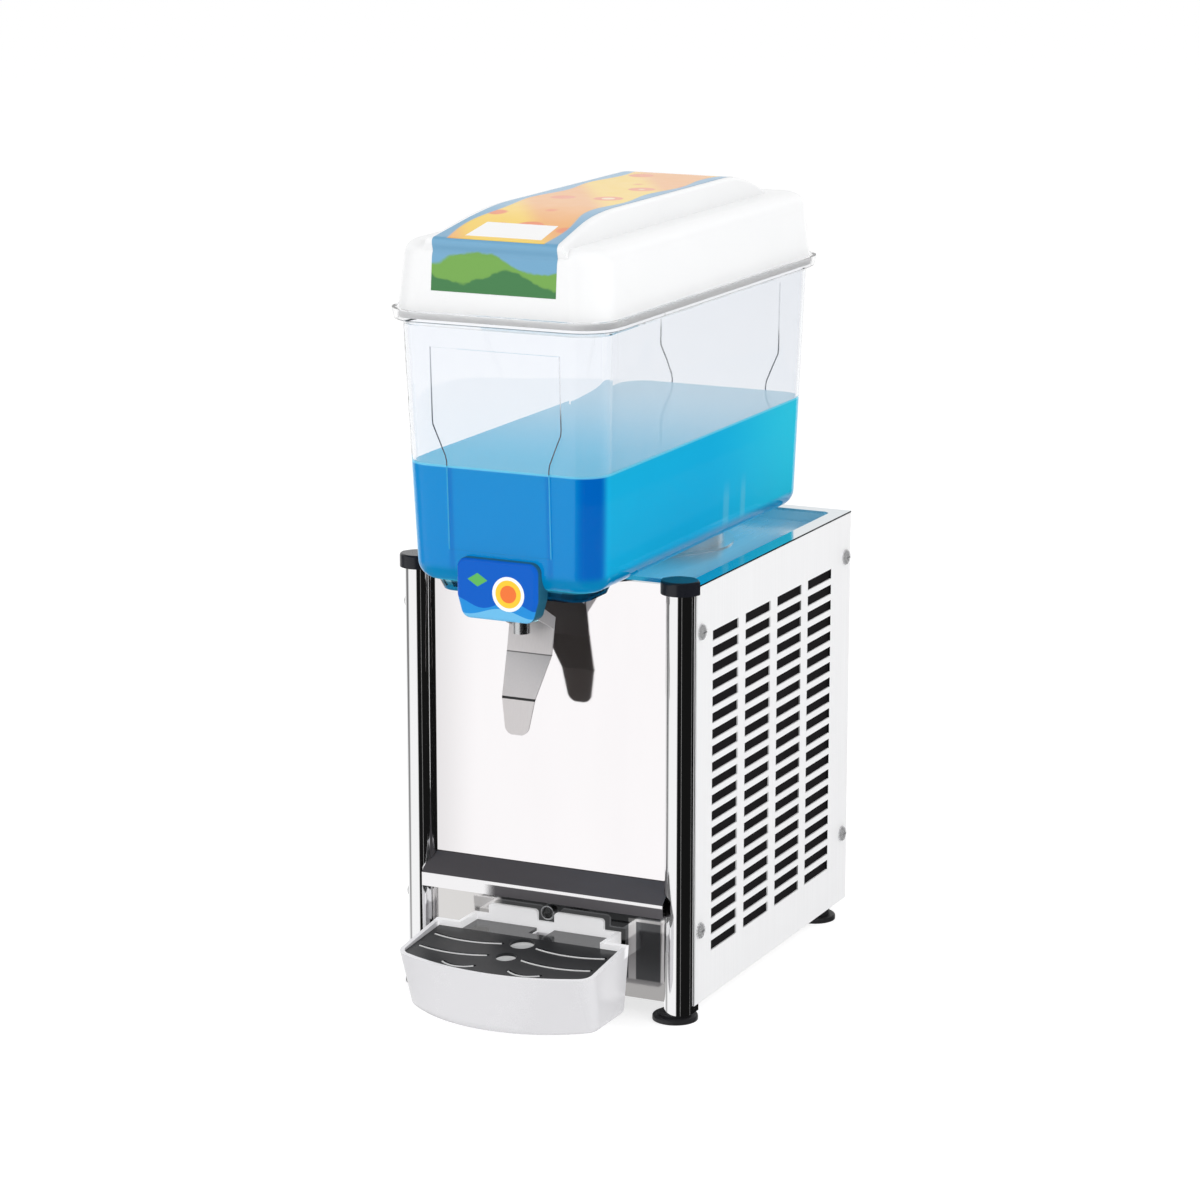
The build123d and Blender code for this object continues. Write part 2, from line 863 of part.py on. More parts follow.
def rim_form(inset, low_flare, high_flare, low, high):
    """One stretch of the flared rim as a solid block."""
    with BuildPart() as form:
        for flare, height in ((low_flare, low), (high_flare, high)):
            grow = 2 * (flare - inset)
            with BuildSketch(Plane.XY.offset(height)):
                with Locations((0, neck_y)):
                    RectangleRounded(
                        tank_neck_width + grow, tank_neck_length + grow, tank_corner - inset + flare
                    )
        loft(ruled=True)
    return form


def tank_block(inset, low, top_extra):
    """Tub and rim together as one solid block."""
    with BuildPart() as block:
        add(tank_form(inset, low).part)
        add(rim_form(inset, 0, rim_shoulder_flare, tank_neck, rim_shoulder).part)
        add(rim_form(inset, rim_shoulder_flare, rim_flare, rim_shoulder, rim_top + top_extra).part)
    return block


sump_y = floor_front + sump_setback
front_slope = (tank_neck_length - tank_floor_length) / 2 + tank_floor_setback
wall_front = floor_y - tank_floor_length / 2
wall_back = floor_y + tank_floor_length / 2
back_slope = (tank_neck_length - tank_floor_length) / 2 - tank_floor_setback


def sump_form(inset, low, high):
    """The shallow trough under the tank's front as a solid block."""
    with BuildPart() as form:
        for slope, height in ((sump_slope, low), (0, high)):
            with BuildSketch(Plane.XY.offset(height)):
                with Locations((0, sump_y)):
                    RectangleRounded(
                        sump_width - 2 * (inset + slope),
                        sump_length - 2 * (inset + slope),
                        sump_length / 4,
                    )
        loft(ruled=True)
    return form


def wall_pad(base_wall_y, slope, outward):
    """The raised middle field of an end wall, wide above and narrow below."""
    wall_plane = Plane(
        origin=(0, base_wall_y, tank_bottom),
        x_dir=(1, 0, 0),
        z_dir=(0, outward * tank_neck_height, slope * -1),
    )
    upward = 1 if wall_plane.y_dir.Z > 0 else -1
    with BuildPart() as pad:
        with BuildSketch(wall_plane.offset(-tank_wall / 2)):
            with BuildLine():
                Polyline(
                    (-front_pad_half_width, upward * front_pad_high),
                    (-front_pad_half_width, upward * front_pad_knee_high),
                    (-front_pad_foot_half_width, upward * front_pad_knee_low),
                    (-front_pad_foot_half_width, upward * front_pad_low),
                    (front_pad_foot_half_width, upward * front_pad_low),
                    (front_pad_foot_half_width, upward * front_pad_knee_low),
                    (front_pad_half_width, upward * front_pad_knee_high),
                    (front_pad_half_width, upward * front_pad_high),
                    close=True,
                )
            make_face()
        extrude(amount=tank_wall / 2 + front_pad_proud)
    return pad


with BuildPart() as tank:
    add(tank_block(0, tank_bottom, 0).part)
    add(sump_form(0, sump_bottom, tank_bottom + tank_wall).part)
    add(wall_pad(wall_front, front_slope, -1).part)
    add(wall_pad(wall_back, back_slope, 1).part)
    add(tank_block(tank_wall, tank_floor, tank_wall).part, mode=Mode.SUBTRACT)
    add(sump_form(tank_wall, sump_bottom + tank_wall, tank_floor + tank_wall).part, mode=Mode.SUBTRACT)
    with BuildSketch(Plane.XY.offset(sump_bottom)):
        with Locations((0, evaporator_y)):
            Circle(tank_hole_radius)
        with Locations((0, tap_y)):
            Circle(tap_bore)
    extrude(amount=sump_depth + 2 * tank_wall, mode=Mode.SUBTRACT)
write(tank, "tank")

# Seal between the tank's floor and the evaporator's boss
with BuildPart() as tank_seal:
    with BuildSketch(upright_section(evaporator_y)):
        with BuildLine():
            Polyline(
                (cup_radius + slack, boss_top + slack),
                (seal_radius, boss_top + slack),
                (seal_radius, tank_bottom),
                (tank_hole_radius - running, tank_bottom),
                (tank_hole_radius - running, tank_floor),
                (seal_radius, tank_floor),
                (seal_radius, tank_floor + seal_thickness),
                (cup_radius + slack, tank_floor + seal_thickness),
                close=True,
            )
        make_face()
    revolve(axis=upright_axis(0, evaporator_y))
write(tank_seal, "tank_seal")

# Juice in the tank, hollow round the evaporator and the paddle
juice_gap = tank_wall + fit
with BuildPart() as juice:
    add(tank_form(juice_gap, tank_bottom + juice_gap).part)
    split(bisect_by=Plane.XY.offset(juice_top), keep=Keep.BOTTOM)
    with BuildSketch(Plane.XY.offset(tank_bottom)):
        with Locations((0, evaporator_y)):
            Circle(seal_radius + slack)
    extrude(amount=cup_height + stud_height + 2 * slack, mode=Mode.SUBTRACT)
write(juice, "juice")

# Tap body: the valve chamber under the sump, with the boss that carries the cover
cover_boss_front = cover_front + cover_wall
cover_boss_z = tank_bottom - cover_below_floor + cover_wall + fit + cover_boss_height / 2
with BuildPart() as tap_body:
    with BuildSketch(Plane.XY.offset(tap_bottom)):
        with Locations((0, tap_y)):
            Circle(tap_radius)
    extrude(amount=sump_bottom - tap_bottom)
    with BuildSketch(upright_section(tap_y)):
        with Locations((0, cover_boss_z)):
            Rectangle(cover_boss_width, cover_boss_height)
    extrude(amount=tap_y - cover_boss_front)
    with BuildSketch(Plane.XY.offset(tap_bottom + tap_floor)):
        with Locations((0, tap_y)):
            Circle(tap_bore)
    extrude(amount=sump_bottom - tap_bottom, mode=Mode.SUBTRACT)
    with BuildSketch(Plane.XY.offset(tap_bottom)):
        with Locations((0, tap_y)):
            Circle(outlet_radius)
    extrude(amount=tap_floor, mode=Mode.SUBTRACT)
    with BuildSketch(Plane.YZ.offset(-tap_radius)):
        with Locations((lever_shaft_y, lever_shaft_z)):
            Circle(lever_shaft_radius + running)
    extrude(amount=2 * tap_radius, mode=Mode.SUBTRACT)
    with BuildSketch(Plane.XY.offset(tap_bottom + collar_rise)):
        with Locations((0, tap_y)):
            with GridLocations(2 * tap_bore - tap_wall, 1, 2, 1):
                Rectangle(tap_wall, guide_width)
    extrude(amount=sump_bottom - tap_bottom - collar_rise)
    with BuildSketch(Plane.XY.offset(sump_bottom)):
        with Locations((0, tap_y)):
            with GridLocations(2 * tap_bore - tap_wall, 1, 2, 1):
                Rectangle(tap_wall, guide_width)
            Circle(tap_bore - running, mode=Mode.INTERSECT)
    extrude(amount=tap_bottom + guide_rise + guide_height - sump_bottom)
    with BuildSketch(Plane.XY.offset(tap_bottom + guide_rise)):
        with Locations((0, tap_y)):
            Rectangle(2 * tap_bore - 2 * tap_wall + 1, guide_width)
            Circle(stem_radius + running, mode=Mode.SUBTRACT)
    extrude(amount=guide_height)
write(tap_body, "tap_body")

with BuildPart() as tap_nozzle:
    with BuildSketch(Plane.XY.offset(tap_bottom - nozzle_length)):
        with Locations((0, tap_y)):
            Circle(nozzle_radius)
            Circle(nozzle_bore, mode=Mode.SUBTRACT)
    extrude(amount=nozzle_length)
write(tap_nozzle, "tap_nozzle")

# Tap cover: a rounded shield in front of the tank's lower edge


def cover_outline(inset):
    """The shield's outline, wide at the top and drawn in below."""
    top = cover_height / 2 - inset
    with BuildSketch(upright_section(cover_front + cover_depth)) as outline:
        with Locations((0, cover_middle_z)):
            Polygon(
                (-cover_top_width / 2 + inset, top),
                (cover_top_width / 2 - inset, top),
                (cover_top_width / 2 - inset, -top / 4),
                (cover_foot_width / 2 - inset, -top),
                (-cover_foot_width / 2 + inset, -top),
                (-cover_top_width / 2 + inset, -top / 4),
                align=None,
            )
        fillet(outline.vertices(), radius=cover_corner - inset)
    return outline


with BuildPart() as tap_cover:
    extrude(cover_outline(0).sketch, amount=cover_depth)
    fillet(tap_cover.faces().sort_by(Axis.Y)[0].edges(), radius=cover_round)
    extrude(cover_outline(cover_wall).sketch, amount=cover_depth - cover_wall, mode=Mode.SUBTRACT)
    add(tank_form(-fit, tank_bottom - fit).part, mode=Mode.SUBTRACT)
    add(sump_form(-fit, sump_bottom - fit, tank_floor - fit).part, mode=Mode.SUBTRACT)
write(tap_cover, "tap_cover")

# Push lever: a bent plate between two cheeks that turn on a cross shaft
lever_places = (
    (tap_y + lever_top_setback, tap_bottom - lever_top_drop),
    (tap_y + lever_fold_setback, tap_bottom - lever_fold_drop),
    (tap_y - lever_knee_reach, tap_bottom - lever_knee_drop),
    (tap_y - lever_end_reach, tap_bottom - lever_end_drop),
)
cheek_share = (lever_cheek - lever_top_drop) / (lever_fold_drop - lever_top_drop)
cheek_foot = (
    tap_y + lever_top_setback + cheek_share * (lever_fold_setback - lever_top_setback),
    tap_bottom - lever_cheek,
)
with BuildPart() as push_lever:
    with BuildSketch(Plane.YZ.offset(-lever_width / 2)):
        with BuildLine():
            bend_line = Polyline(*lever_places)
            offset(bend_line, amount=lever_sheet, side=Side.RIGHT, kind=Kind.INTERSECTION)
        make_face()
    extrude(amount=lever_width)
    with BuildSketch(upright_section(front_y)) as lever_front:
        with BuildLine():
            Polyline(
                (-lever_width / 2, lever_places[0][1] + lever_sheet),
                (lever_width / 2, lever_places[0][1] + lever_sheet),
                (lever_width / 2, lever_places[1][1]),
                (lever_knee_width / 2, lever_places[2][1]),
                (lever_end_width / 2, lever_places[3][1]),
                (-lever_end_width / 2, lever_places[3][1]),
                (-lever_knee_width / 2, lever_places[2][1]),
                (-lever_width / 2, lever_places[1][1]),
                close=True,
            )
        make_face()
        fillet(lever_front.vertices().group_by(Axis.Z)[0], radius=lever_end_width / 2 - lever_sheet)
    extrude(amount=2 * (front_y - tap_y), mode=Mode.INTERSECT)
    for side in (-1, 1):
        with BuildSketch(Plane.YZ.offset(side * lever_width / 2)):
            with BuildLine():
                Polyline(
                    (lever_shaft_y, lever_shaft_z + lever_eye),
                    (lever_places[0][0], lever_places[0][1]),
                    cheek_foot,
                    (lever_shaft_y, lever_shaft_z - lever_eye),
                    close=True,
                )
            make_face()
            with Locations((lever_shaft_y, lever_shaft_z)):
                Circle(lever_eye)
                Circle(lever_shaft_radius + running, mode=Mode.SUBTRACT)
        extrude(amount=-side * lever_sheet)
write(push_lever, "push_lever")

# Lever shaft with the forked crank that lifts the plunger
prong_top = tap_bottom + collar_rise - slack
prong_inside = stem_radius + 2 * slack
with BuildPart() as lever_shaft:
    with BuildSketch(Plane.YZ.offset(-lever_width / 2)):
        with Locations((lever_shaft_y, lever_shaft_z)):
            Circle(lever_shaft_radius)
    extrude(amount=lever_width)
    for side in (-1, 1):
        with BuildSketch(Plane.YZ.offset(side * lever_width / 2)):
            with Locations((lever_shaft_y, lever_shaft_z)):
                Circle(lever_shaft_radius + lever_sheet)
        extrude(amount=side * lever_sheet)
        with BuildSketch(Plane.YZ.offset(side * prong_inside)):
            with BuildLine():
                Polyline(
                    (lever_shaft_y + prong_step, prong_top),
                    (tap_y + prong_reach, prong_top),
                    (tap_y + prong_reach, prong_top - prong_height),
                    (lever_shaft_y, lever_shaft_z),
                    close=True,
                )
            make_face()
        extrude(amount=side * (valve_radius - prong_inside))
write(lever_shaft, "lever_shaft")

# Plunger that shuts the outlet, with its rubber face and its return spring
with BuildPart() as valve_plunger:
    with BuildSketch(Plane.XY.offset(tap_bottom + tap_floor + slack + valve_seal_height)):
        with Locations((0, tap_y)):
            Circle(stem_radius)
    extrude(amount=stem_top - tap_floor - slack - valve_seal_height)
    with BuildSketch(Plane.XY.offset(tap_bottom + collar_rise)):
        with Locations((0, tap_y)):
            Circle(valve_radius)
    extrude(amount=collar_height)
write(valve_plunger, "valve_plunger")

with BuildPart() as valve_seal:
    with BuildSketch(Plane.XY.offset(tap_bottom + tap_floor + slack)):
        with Locations((0, tap_y)):
            Circle(valve_radius)
    extrude(amount=valve_seal_height)
write(valve_seal, "valve_seal")

spring_low = tap_bottom + collar_rise + collar_height + spring_wire
spring_high = tap_bottom + guide_rise - spring_wire
with BuildPart() as return_spring:
    with BuildLine() as spring_line:
        Helix(
            pitch=(spring_high - spring_low) / spring_turns,
            height=spring_high - spring_low,
            radius=spring_radius,
            center=(0, tap_y, spring_low),
        )
    with BuildSketch(Plane(origin=spring_line.line @ 0, z_dir=spring_line.line % 0)):
        RegularPolygon(spring_wire, 6)
    sweep(path=spring_line.line, is_frenet=True)
write(return_spring, "return_spring")

# Lid: a deep white cover with a raised ridge along its middle


def ridge_form(inset):
    """The raised ridge along the lid as a solid block that reaches down into the lid's body."""
    fold_y = neck_y - lid_length / 2 + lid_taper - ridge_front_proud
    end_y = neck_y + lid_length / 2 - lid_taper - ridge_back_margin
    low = lid_top - lid_round - inset
    fold_z = lid_top + ridge_fold_rise - inset
    high = lid_top + ridge_height - inset
    with BuildPart() as ridge:
        with BuildSketch(Plane.YZ) as profile:
            Polygon(
                (fold_y + ridge_front_proud + lid_taper / 2 + inset, low),
                (fold_y + inset, fold_z),
                (fold_y + ridge_front_slope, high),
                (end_y - ridge_back_slope, high),
                (end_y - inset, low),
                align=None,
            )
            crest = profile.vertices().group_by(Axis.Y)[-1].sort_by(Axis.X)
            fillet(crest[0], radius=ridge_front_arch)
            crest = profile.vertices().group_by(Axis.Y)[-1].sort_by(Axis.X)
            fillet(crest[-1], radius=ridge_back_arch)
        extrude(amount=ridge_foot_width, both=True)
        with BuildSketch(upright_section(end_y)):
            Polygon(
                (-ridge_foot_width / 2 + inset, low),
                (ridge_foot_width / 2 - inset, low),
                (ridge_top_width / 2 - inset, high),
                (-ridge_top_width / 2 + inset, high),
                align=None,
            )
        extrude(amount=end_y - fold_y, mode=Mode.INTERSECT)
        fillet(ridge.edges().filter_by_position(Axis.Z, fold_z - 1, high + 1), radius=ridge_round - inset)
    return ridge


def lid_form(inset, low):
    """The lid's body and ridge as one solid block, drawn in by inset."""
    with BuildPart() as form:
        for taper, height in ((0, low), (lid_taper, lid_top - inset)):
            with BuildSketch(Plane.XY.offset(height)):
                with Locations((0, neck_y)):
                    RectangleRounded(
                        lid_width - 2 * (inset + taper),
                        lid_length - 2 * (inset + taper),
                        lid_corner - inset,
                    )
        loft(ruled=True)
        fillet(form.faces().sort_by(Axis.Z)[-1].edges(), radius=lid_round - inset)
        add(ridge_form(inset).part)
    return form


with BuildPart() as lid:
    add(lid_form(0, lid_base).part)
    add(lid_form(lid_wall, lid_base).part, mode=Mode.SUBTRACT)
write(lid, "lid")

# Drip tray
tray_half = tray_width / 2
tray_side = tray_length - tray_bow
heel_back = tray_gap - heel_gap


def tray_plane(height, fall):
    """A plane at one height over the tray's back edge that falls towards the front."""
    tilt = atan2(fall, tray_length)
    return Plane(origin=(0, tray_back, height), x_dir=(1, 0, 0), z_dir=(0, -sin(tilt), cos(tilt)))


def tray_outline(plane, half, back, front, corner, bow):
    """A tray outline with a straight back, straight sides and a bowed front."""
    with BuildSketch(plane) as outline:
        with BuildLine():
            Polyline((-half, front), (-half, back), (half, back), (half, front))
            ThreePointArc((half, front), (0, front - bow), (-half, front))
        make_face()
        fillet(outline.vertices().group_by(Axis.Y)[0], radius=corner)
    return outline


def tray_form(inset, top_drop, low):
    """The tray's tub as a solid block, drawn in by inset, from top_drop under the rim to height low."""
    with BuildPart() as form:
        top = tray_outline(
            rim_plane.offset(-top_drop),
            tray_half - inset,
            -inset,
            -tray_side + inset,
            tray_corner - inset,
            tray_bow,
        )
        bottom = tray_outline(
            Plane.XY.offset(low),
            tray_half - tray_draft - inset,
            tray_back - tray_back_draft - inset,
            tray_back - tray_side + tray_front_draft + inset,
            tray_corner - inset,
            tray_foot_bow,
        )
        loft(sections=[bottom.sketch.face(), top.sketch.face()], ruled=True)
    return form


rim_plane = tray_plane(tray_rim_z, tray_rim_fall)
grille_plane = tray_plane(
    tray_rim_z - grille_sink - grille_thickness, tray_rim_fall - grille_sink + grille_front_sink
)
with BuildPart() as drip_tray:
    add(tray_form(0, 0, tray_floor_z).part)
    fillet(drip_tray.faces().sort_by(Axis.Z)[0].edges(), radius=tray_floor_round)
    with BuildSketch(Plane.XY.offset(tray_rim_z)):
        with Locations((0, tray_back + heel_back / 2 - tray_rim_width)):
            Rectangle(heel_width, heel_back + 2 * tray_rim_width)
    extrude(amount=-heel_depth)
    with BuildSketch(upright_section(front_y - heel_gap)) as tabs:
        with Locations((0, tray_rim_z)):
            with GridLocations(tab_width + tab_notch, 1, 2, 1):
                Rectangle(tab_width, 2 * tab_height)
        fillet(tabs.vertices().group_by(Axis.Y)[-1], radius=tab_thickness)
    extrude(amount=tab_thickness)
    cavity_drop = grille_thickness + grille_front_sink
    tray_hollow = tray_form(tray_wall + tray_rim_width / 2, cavity_drop, tray_floor_z + tray_wall)
    add(tray_hollow.part, mode=Mode.SUBTRACT)
    ledge_outline = tray_outline(
        grille_plane,
        tray_half - tray_rim_width,
        -tray_rim_width,
        -tray_side + tray_rim_width,
        tray_corner - tray_rim_width,
        tray_bow,
    )
    extrude(ledge_outline.sketch, amount=tray_rim_fall, mode=Mode.SUBTRACT)
    pocket_length = heel_back - tab_thickness + 3 * tray_rim_width
    with BuildSketch(Plane.XY.offset(tray_rim_z)):
        with Locations((0, front_y - heel_gap - tab_thickness - pocket_length / 2)):
            Rectangle(heel_width - 2 * tray_rim_width, pocket_length)
    extrude(amount=-heel_pocket, mode=Mode.SUBTRACT)
    with BuildSketch(Plane.XY.offset(tray_rim_z)):
        with Locations((0, front_y - heel_gap - tab_thickness - pocket_length / 2)):
            Rectangle(tab_notch, pocket_length)
    extrude(amount=-heel_depth + tray_wall, mode=Mode.SUBTRACT)
    with BuildSketch(upright_section(front_y - heel_gap - tray_wall)):
        with Locations((0, tongue_z)):
            with GridLocations(tongue_spacing, 1, 2, 1):
                Rectangle(
                    tongue_width + 2 * (tongue_clearance + pocket_wall),
                    tongue_thickness + 2 * (tongue_clearance + pocket_wall),
                )
    extrude(amount=tongue_length + tongue_clearance + pocket_wall - heel_gap - tray_wall)
    with BuildSketch(upright_section(front_y)):
        with Locations((0, tongue_z)):
            with GridLocations(tongue_spacing, 1, 2, 1):
                Rectangle(tongue_width + 2 * tongue_clearance, tongue_thickness + 2 * tongue_clearance)
    extrude(amount=tongue_length + tongue_clearance, mode=Mode.SUBTRACT)
write(drip_tray, "drip_tray")

# Grille that lies on the tray's inner ledge
grille_inset = tray_rim_width + grille_gap
with BuildPart() as drip_grille:
    grille_outline = tray_outline(
        grille_plane,
        tray_half - grille_inset,
        -grille_inset,
        -tray_side + grille_inset,
        tray_corner - grille_inset,
        tray_bow,
    )
    extrude(grille_outline.sketch, amount=grille_thickness)
    with BuildSketch(grille_plane):
        for setback, radius in grille_cup_holes:
            with Locations((0, -setback)):
                Circle(radius)
        for setback, end in grille_rows:
            for side in (-1, 1):
                with BuildLine(mode=Mode.PRIVATE) as bow_line:
                    ThreePointArc(
                        (side * grille_slot_start, -setback),
                        (side * (grille_slot_start + end) / 2, -setback - grille_slot_bow),
                        (side * end, -setback),
                    )
                SlotArc(bow_line.edges()[0], grille_slot)
    extrude(amount=2 * grille_thickness, mode=Mode.SUBTRACT)
write(drip_grille, "drip_grille")

# Compressor on rubber mounts
compressor_y = back_y - compressor_back_margin
compressor_low = pan_floor + mount_height + compressor_plate
compressor_top = compressor_low + compressor_height
shell_middle = (compressor_low + compressor_top) / 2 - compressor_plate / 4
suction_stub = (compressor_x, compressor_y - compressor_radius * 0.4)
discharge_stub = (compressor_x + compressor_radius / 3, compressor_y + compressor_radius / 4)
mount_spread_x = compressor_plate_width - 2 * mount_radius
mount_spread_y = compressor_plate_depth - 2 * mount_radius
with BuildPart() as compressor:
    with BuildSketch(upright_section(compressor_y)) as shell:
        with Locations((compressor_x + compressor_radius / 2, shell_middle)):
            Rectangle(compressor_radius, compressor_height + compressor_plate / 2)
        fillet(shell.vertices().group_by(Axis.X)[-1], radius=compressor_round)
        with Locations((compressor_x + compressor_radius, (compressor_low + compressor_top) / 2)):
            Rectangle(2 * compressor_seam, compressor_seam)
    revolve(axis=upright_axis(compressor_x, compressor_y))
    with BuildSketch(Plane.XY.offset(compressor_low - compressor_plate)):
        with Locations((compressor_x, compressor_y)):
            RectangleRounded(compressor_plate_width, compressor_plate_depth, mount_radius)
    extrude(amount=compressor_plate)
    with BuildSketch(Plane.XY.offset(compressor_top - compressor_seam)):
        with Locations(suction_stub, discharge_stub):
            Circle(stub_radius)
    extrude(amount=compressor_seam + stub_height)
write(compressor, "compressor")

with BuildPart() as compressor_mounts:
    with BuildSketch(Plane.XY.offset(pan_floor)):
        with Locations((compressor_x, compressor_y)):
            with GridLocations(mount_spread_x, mount_spread_y, 2, 2):
                Circle(mount_radius)
    extrude(amount=mount_height)
write(compressor_mounts, "compressor_mounts")

# Condenser behind the right side panel, with its fan, shroud and motor
condenser_right = half_width - flange - condenser_gap
condenser_left = condenser_right - condenser_thickness
condenser_y = front_y + condenser_setback + condenser_depth / 2
condenser_z = pan_floor + condenser_height / 2
with BuildPart() as condenser:
    with BuildSketch(Plane.YZ.offset(condenser_left)):
        with Locations((condenser_y, condenser_z)):
            Rectangle(condenser_depth, condenser_height)
    extrude(amount=condenser_thickness)
    with BuildSketch(Plane.YZ.offset(condenser_right)):
        with Locations((condenser_y, condenser_z)):
            with GridLocations(condenser_depth / fin_count, 1, fin_count, 1):
                Rectangle(fin_groove, condenser_height)
    extrude(amount=-fin_groove_depth, mode=Mode.SUBTRACT)
write(condenser, "condenser")

shroud_left = condenser_left - shroud_thickness
ring_inner = fan_radius + 3 * sheet
with BuildPart() as fan_shroud:
    with BuildSketch(Plane.YZ.offset(shroud_left)):
        with Locations((condenser_y, condenser_z)):
            Rectangle(condenser_depth, condenser_height)
            Circle(ring_inner, mode=Mode.SUBTRACT)
    extrude(amount=shroud_thickness)
    with BuildSketch(Plane.YZ.offset(shroud_left)):
        with Locations((condenser_y, condenser_z)):
            Circle(ring_inner + sheet)
            Circle(ring_inner, mode=Mode.SUBTRACT)
    extrude(amount=-shroud_ring)
write(fan_shroud, "fan_shroud")

fan_plane = Plane(
    origin=(shroud_left - fan_hub_length / 2, condenser_y, condenser_z), x_dir=(0, 1, 0), z_dir=(1, 0, 0)
)
hub_left = shroud_left - fan_hub_length
fan_motor_right = hub_left - 2 * sheet
fan_motor_left = fan_motor_right - fan_motor_length
spindle_depth = fan_motor_length / 3
with BuildPart(fan_plane) as condenser_fan:
    with PolarLocations((fan_radius + fan_hub / 2) / 2, fan_blades):
        Box(fan_radius - fan_hub / 2, fan_blade_width, fan_blade_thickness, rotation=(fan_pitch, 0, 0))
    Cylinder(fan_radius, 2 * fan_hub_length, mode=Mode.INTERSECT)
    Cylinder(fan_hub, fan_hub_length)
    with BuildSketch(Plane.YZ.offset(fan_motor_right - spindle_depth + slack)):
        with Locations((condenser_y, condenser_z)):
            Circle(fan_spindle_radius)
    extrude(amount=hub_left - fan_motor_right + spindle_depth - slack)
write(condenser_fan, "condenser_fan")

with BuildPart() as fan_motor:
    with BuildSketch(Plane.YZ.offset(fan_motor_left)):
        with Locations((condenser_y, condenser_z)):
            Circle(fan_motor_radius)
    extrude(amount=fan_motor_length)
    chamfer(fan_motor.edges().filter_by(GeomType.CIRCLE), length=2 * sheet)
    with BuildSketch(Plane.YZ.offset(fan_motor_right - spindle_depth)):
        with Locations((condenser_y, condenser_z)):
            Circle(fan_spindle_radius + running)
    extrude(amount=spindle_depth, mode=Mode.SUBTRACT)
write(fan_motor, "fan_motor")

strap_half = condenser_depth / 2 - strap_margin
strap_run = shroud_left - fan_motor_left + strap_thickness
with BuildPart() as fan_bracket:
    with BuildSketch(Plane.XY.offset(condenser_z - strap_width / 2)):
        with Locations((shroud_left - strap_run / 2, condenser_y)):
            Rectangle(strap_run, 2 * strap_half)
        with Locations((shroud_left - strap_run / 2 + strap_thickness, condenser_y)):
            Rectangle(strap_run, 2 * (strap_half - strap_thickness), mode=Mode.SUBTRACT)
    extrude(amount=strap_width)
write(fan_bracket, "fan_bracket")

# Filter drier and the pipes of the cooling circuit
condenser_middle_x = (condenser_left + condenser_right) / 2 - fin_groove_depth / 2
condenser_front = front_y + condenser_setback
drier_y = condenser_front - drier_height
drier_z = pan_floor + drier_height
with BuildPart() as filter_drier:
    with BuildSketch(Plane.YZ.offset(-drier_length / 2)):
        with Locations((drier_y, drier_z)):
            Circle(drier_radius)
    extrude(amount=drier_length)
    fillet(filter_drier.edges().filter_by(GeomType.CIRCLE), radius=drier_radius / 2)
write(filter_drier, "filter_drier")

suction_route = (
    (-coil_drop_x, evaporator_y, coil_low),
    (-coil_drop_x, evaporator_y, compressor_top + 6 * pipe_bend),
    (*suction_stub, compressor_top + 4 * pipe_bend),
    (*suction_stub, compressor_top + stub_height),
)
write(pipe(suction_route, suction_radius, pipe_bend), "suction_pipe")

pipe_crossing = pan_floor + condenser_height + 4 * pipe_bend
discharge_route = (
    (*discharge_stub, compressor_top + stub_height),
    (*discharge_stub, pipe_crossing),
    (condenser_middle_x, discharge_stub[1], pipe_crossing),
    (condenser_middle_x, discharge_stub[1], pan_floor + condenser_height),
)
write(pipe(discharge_route, discharge_radius, pipe_bend), "discharge_pipe")

liquid_route = (
    (condenser_middle_x, condenser_front, drier_z),
    (condenser_middle_x, drier_y, drier_z),
    (drier_length / 2, drier_y, drier_z),
)
write(pipe(liquid_route, discharge_radius, pipe_bend), "liquid_pipe")

capillary_x = -drier_length / 2 - 2 * pipe_bend
capillary_z = motor_top - motor_height - 2 * pipe_bend
capillary_route = (
    (-drier_length / 2, drier_y, drier_z),
    (capillary_x, drier_y, drier_z),
    (capillary_x, drier_y, capillary_z),
    (coil_drop_x, drier_y, capillary_z),
    (coil_drop_x, evaporator_y, capillary_z),
    (coil_drop_x, evaporator_y, coil_low),
)
write(pipe(capillary_route, capillary_radius, pipe_bend), "capillary_pipe")

# Controls on the back: two rocker switches, the thermostat with its knob, and the cord gland
control_z = base_z + control_height
pivot_y = back_panel_y - rocker_pivot_depth
switch_places = [switch_x - switch_spacing / 2, switch_x + switch_spacing / 2]
opening_half = rocker_width / 2 + rocker_gap
pin_half = opening_half + bezel_wall / 2
with BuildPart() as switch_bezels:
    for x in switch_places:
        with BuildSketch(upright_section(back_panel_y)):
            with Locations((x, control_z)):
                RectangleRounded(bezel_width, bezel_height, bezel_wall)
        extrude(amount=-bezel_lip)
        with BuildSketch(upright_section(back_panel_y)):
            with Locations((x, control_z)):
                Rectangle(bezel_width - 2 * bezel_wall, bezel_height - 2 * bezel_wall)
        extrude(amount=bezel_depth)
        with BuildSketch(upright_section(back_panel_y + bezel_lip)):
            with Locations((x, control_z)):
                Rectangle(2 * opening_half, rocker_height + 4 * rocker_gap)
        extrude(amount=bezel_depth, mode=Mode.SUBTRACT)
        with BuildSketch(Plane.YZ.offset(x - pin_half - fit)):
            with Locations((pivot_y, control_z)):
                Circle(rocker_pin + running)
        extrude(amount=2 * (pin_half + fit), mode=Mode.SUBTRACT)
write(switch_bezels, "switch_bezels")


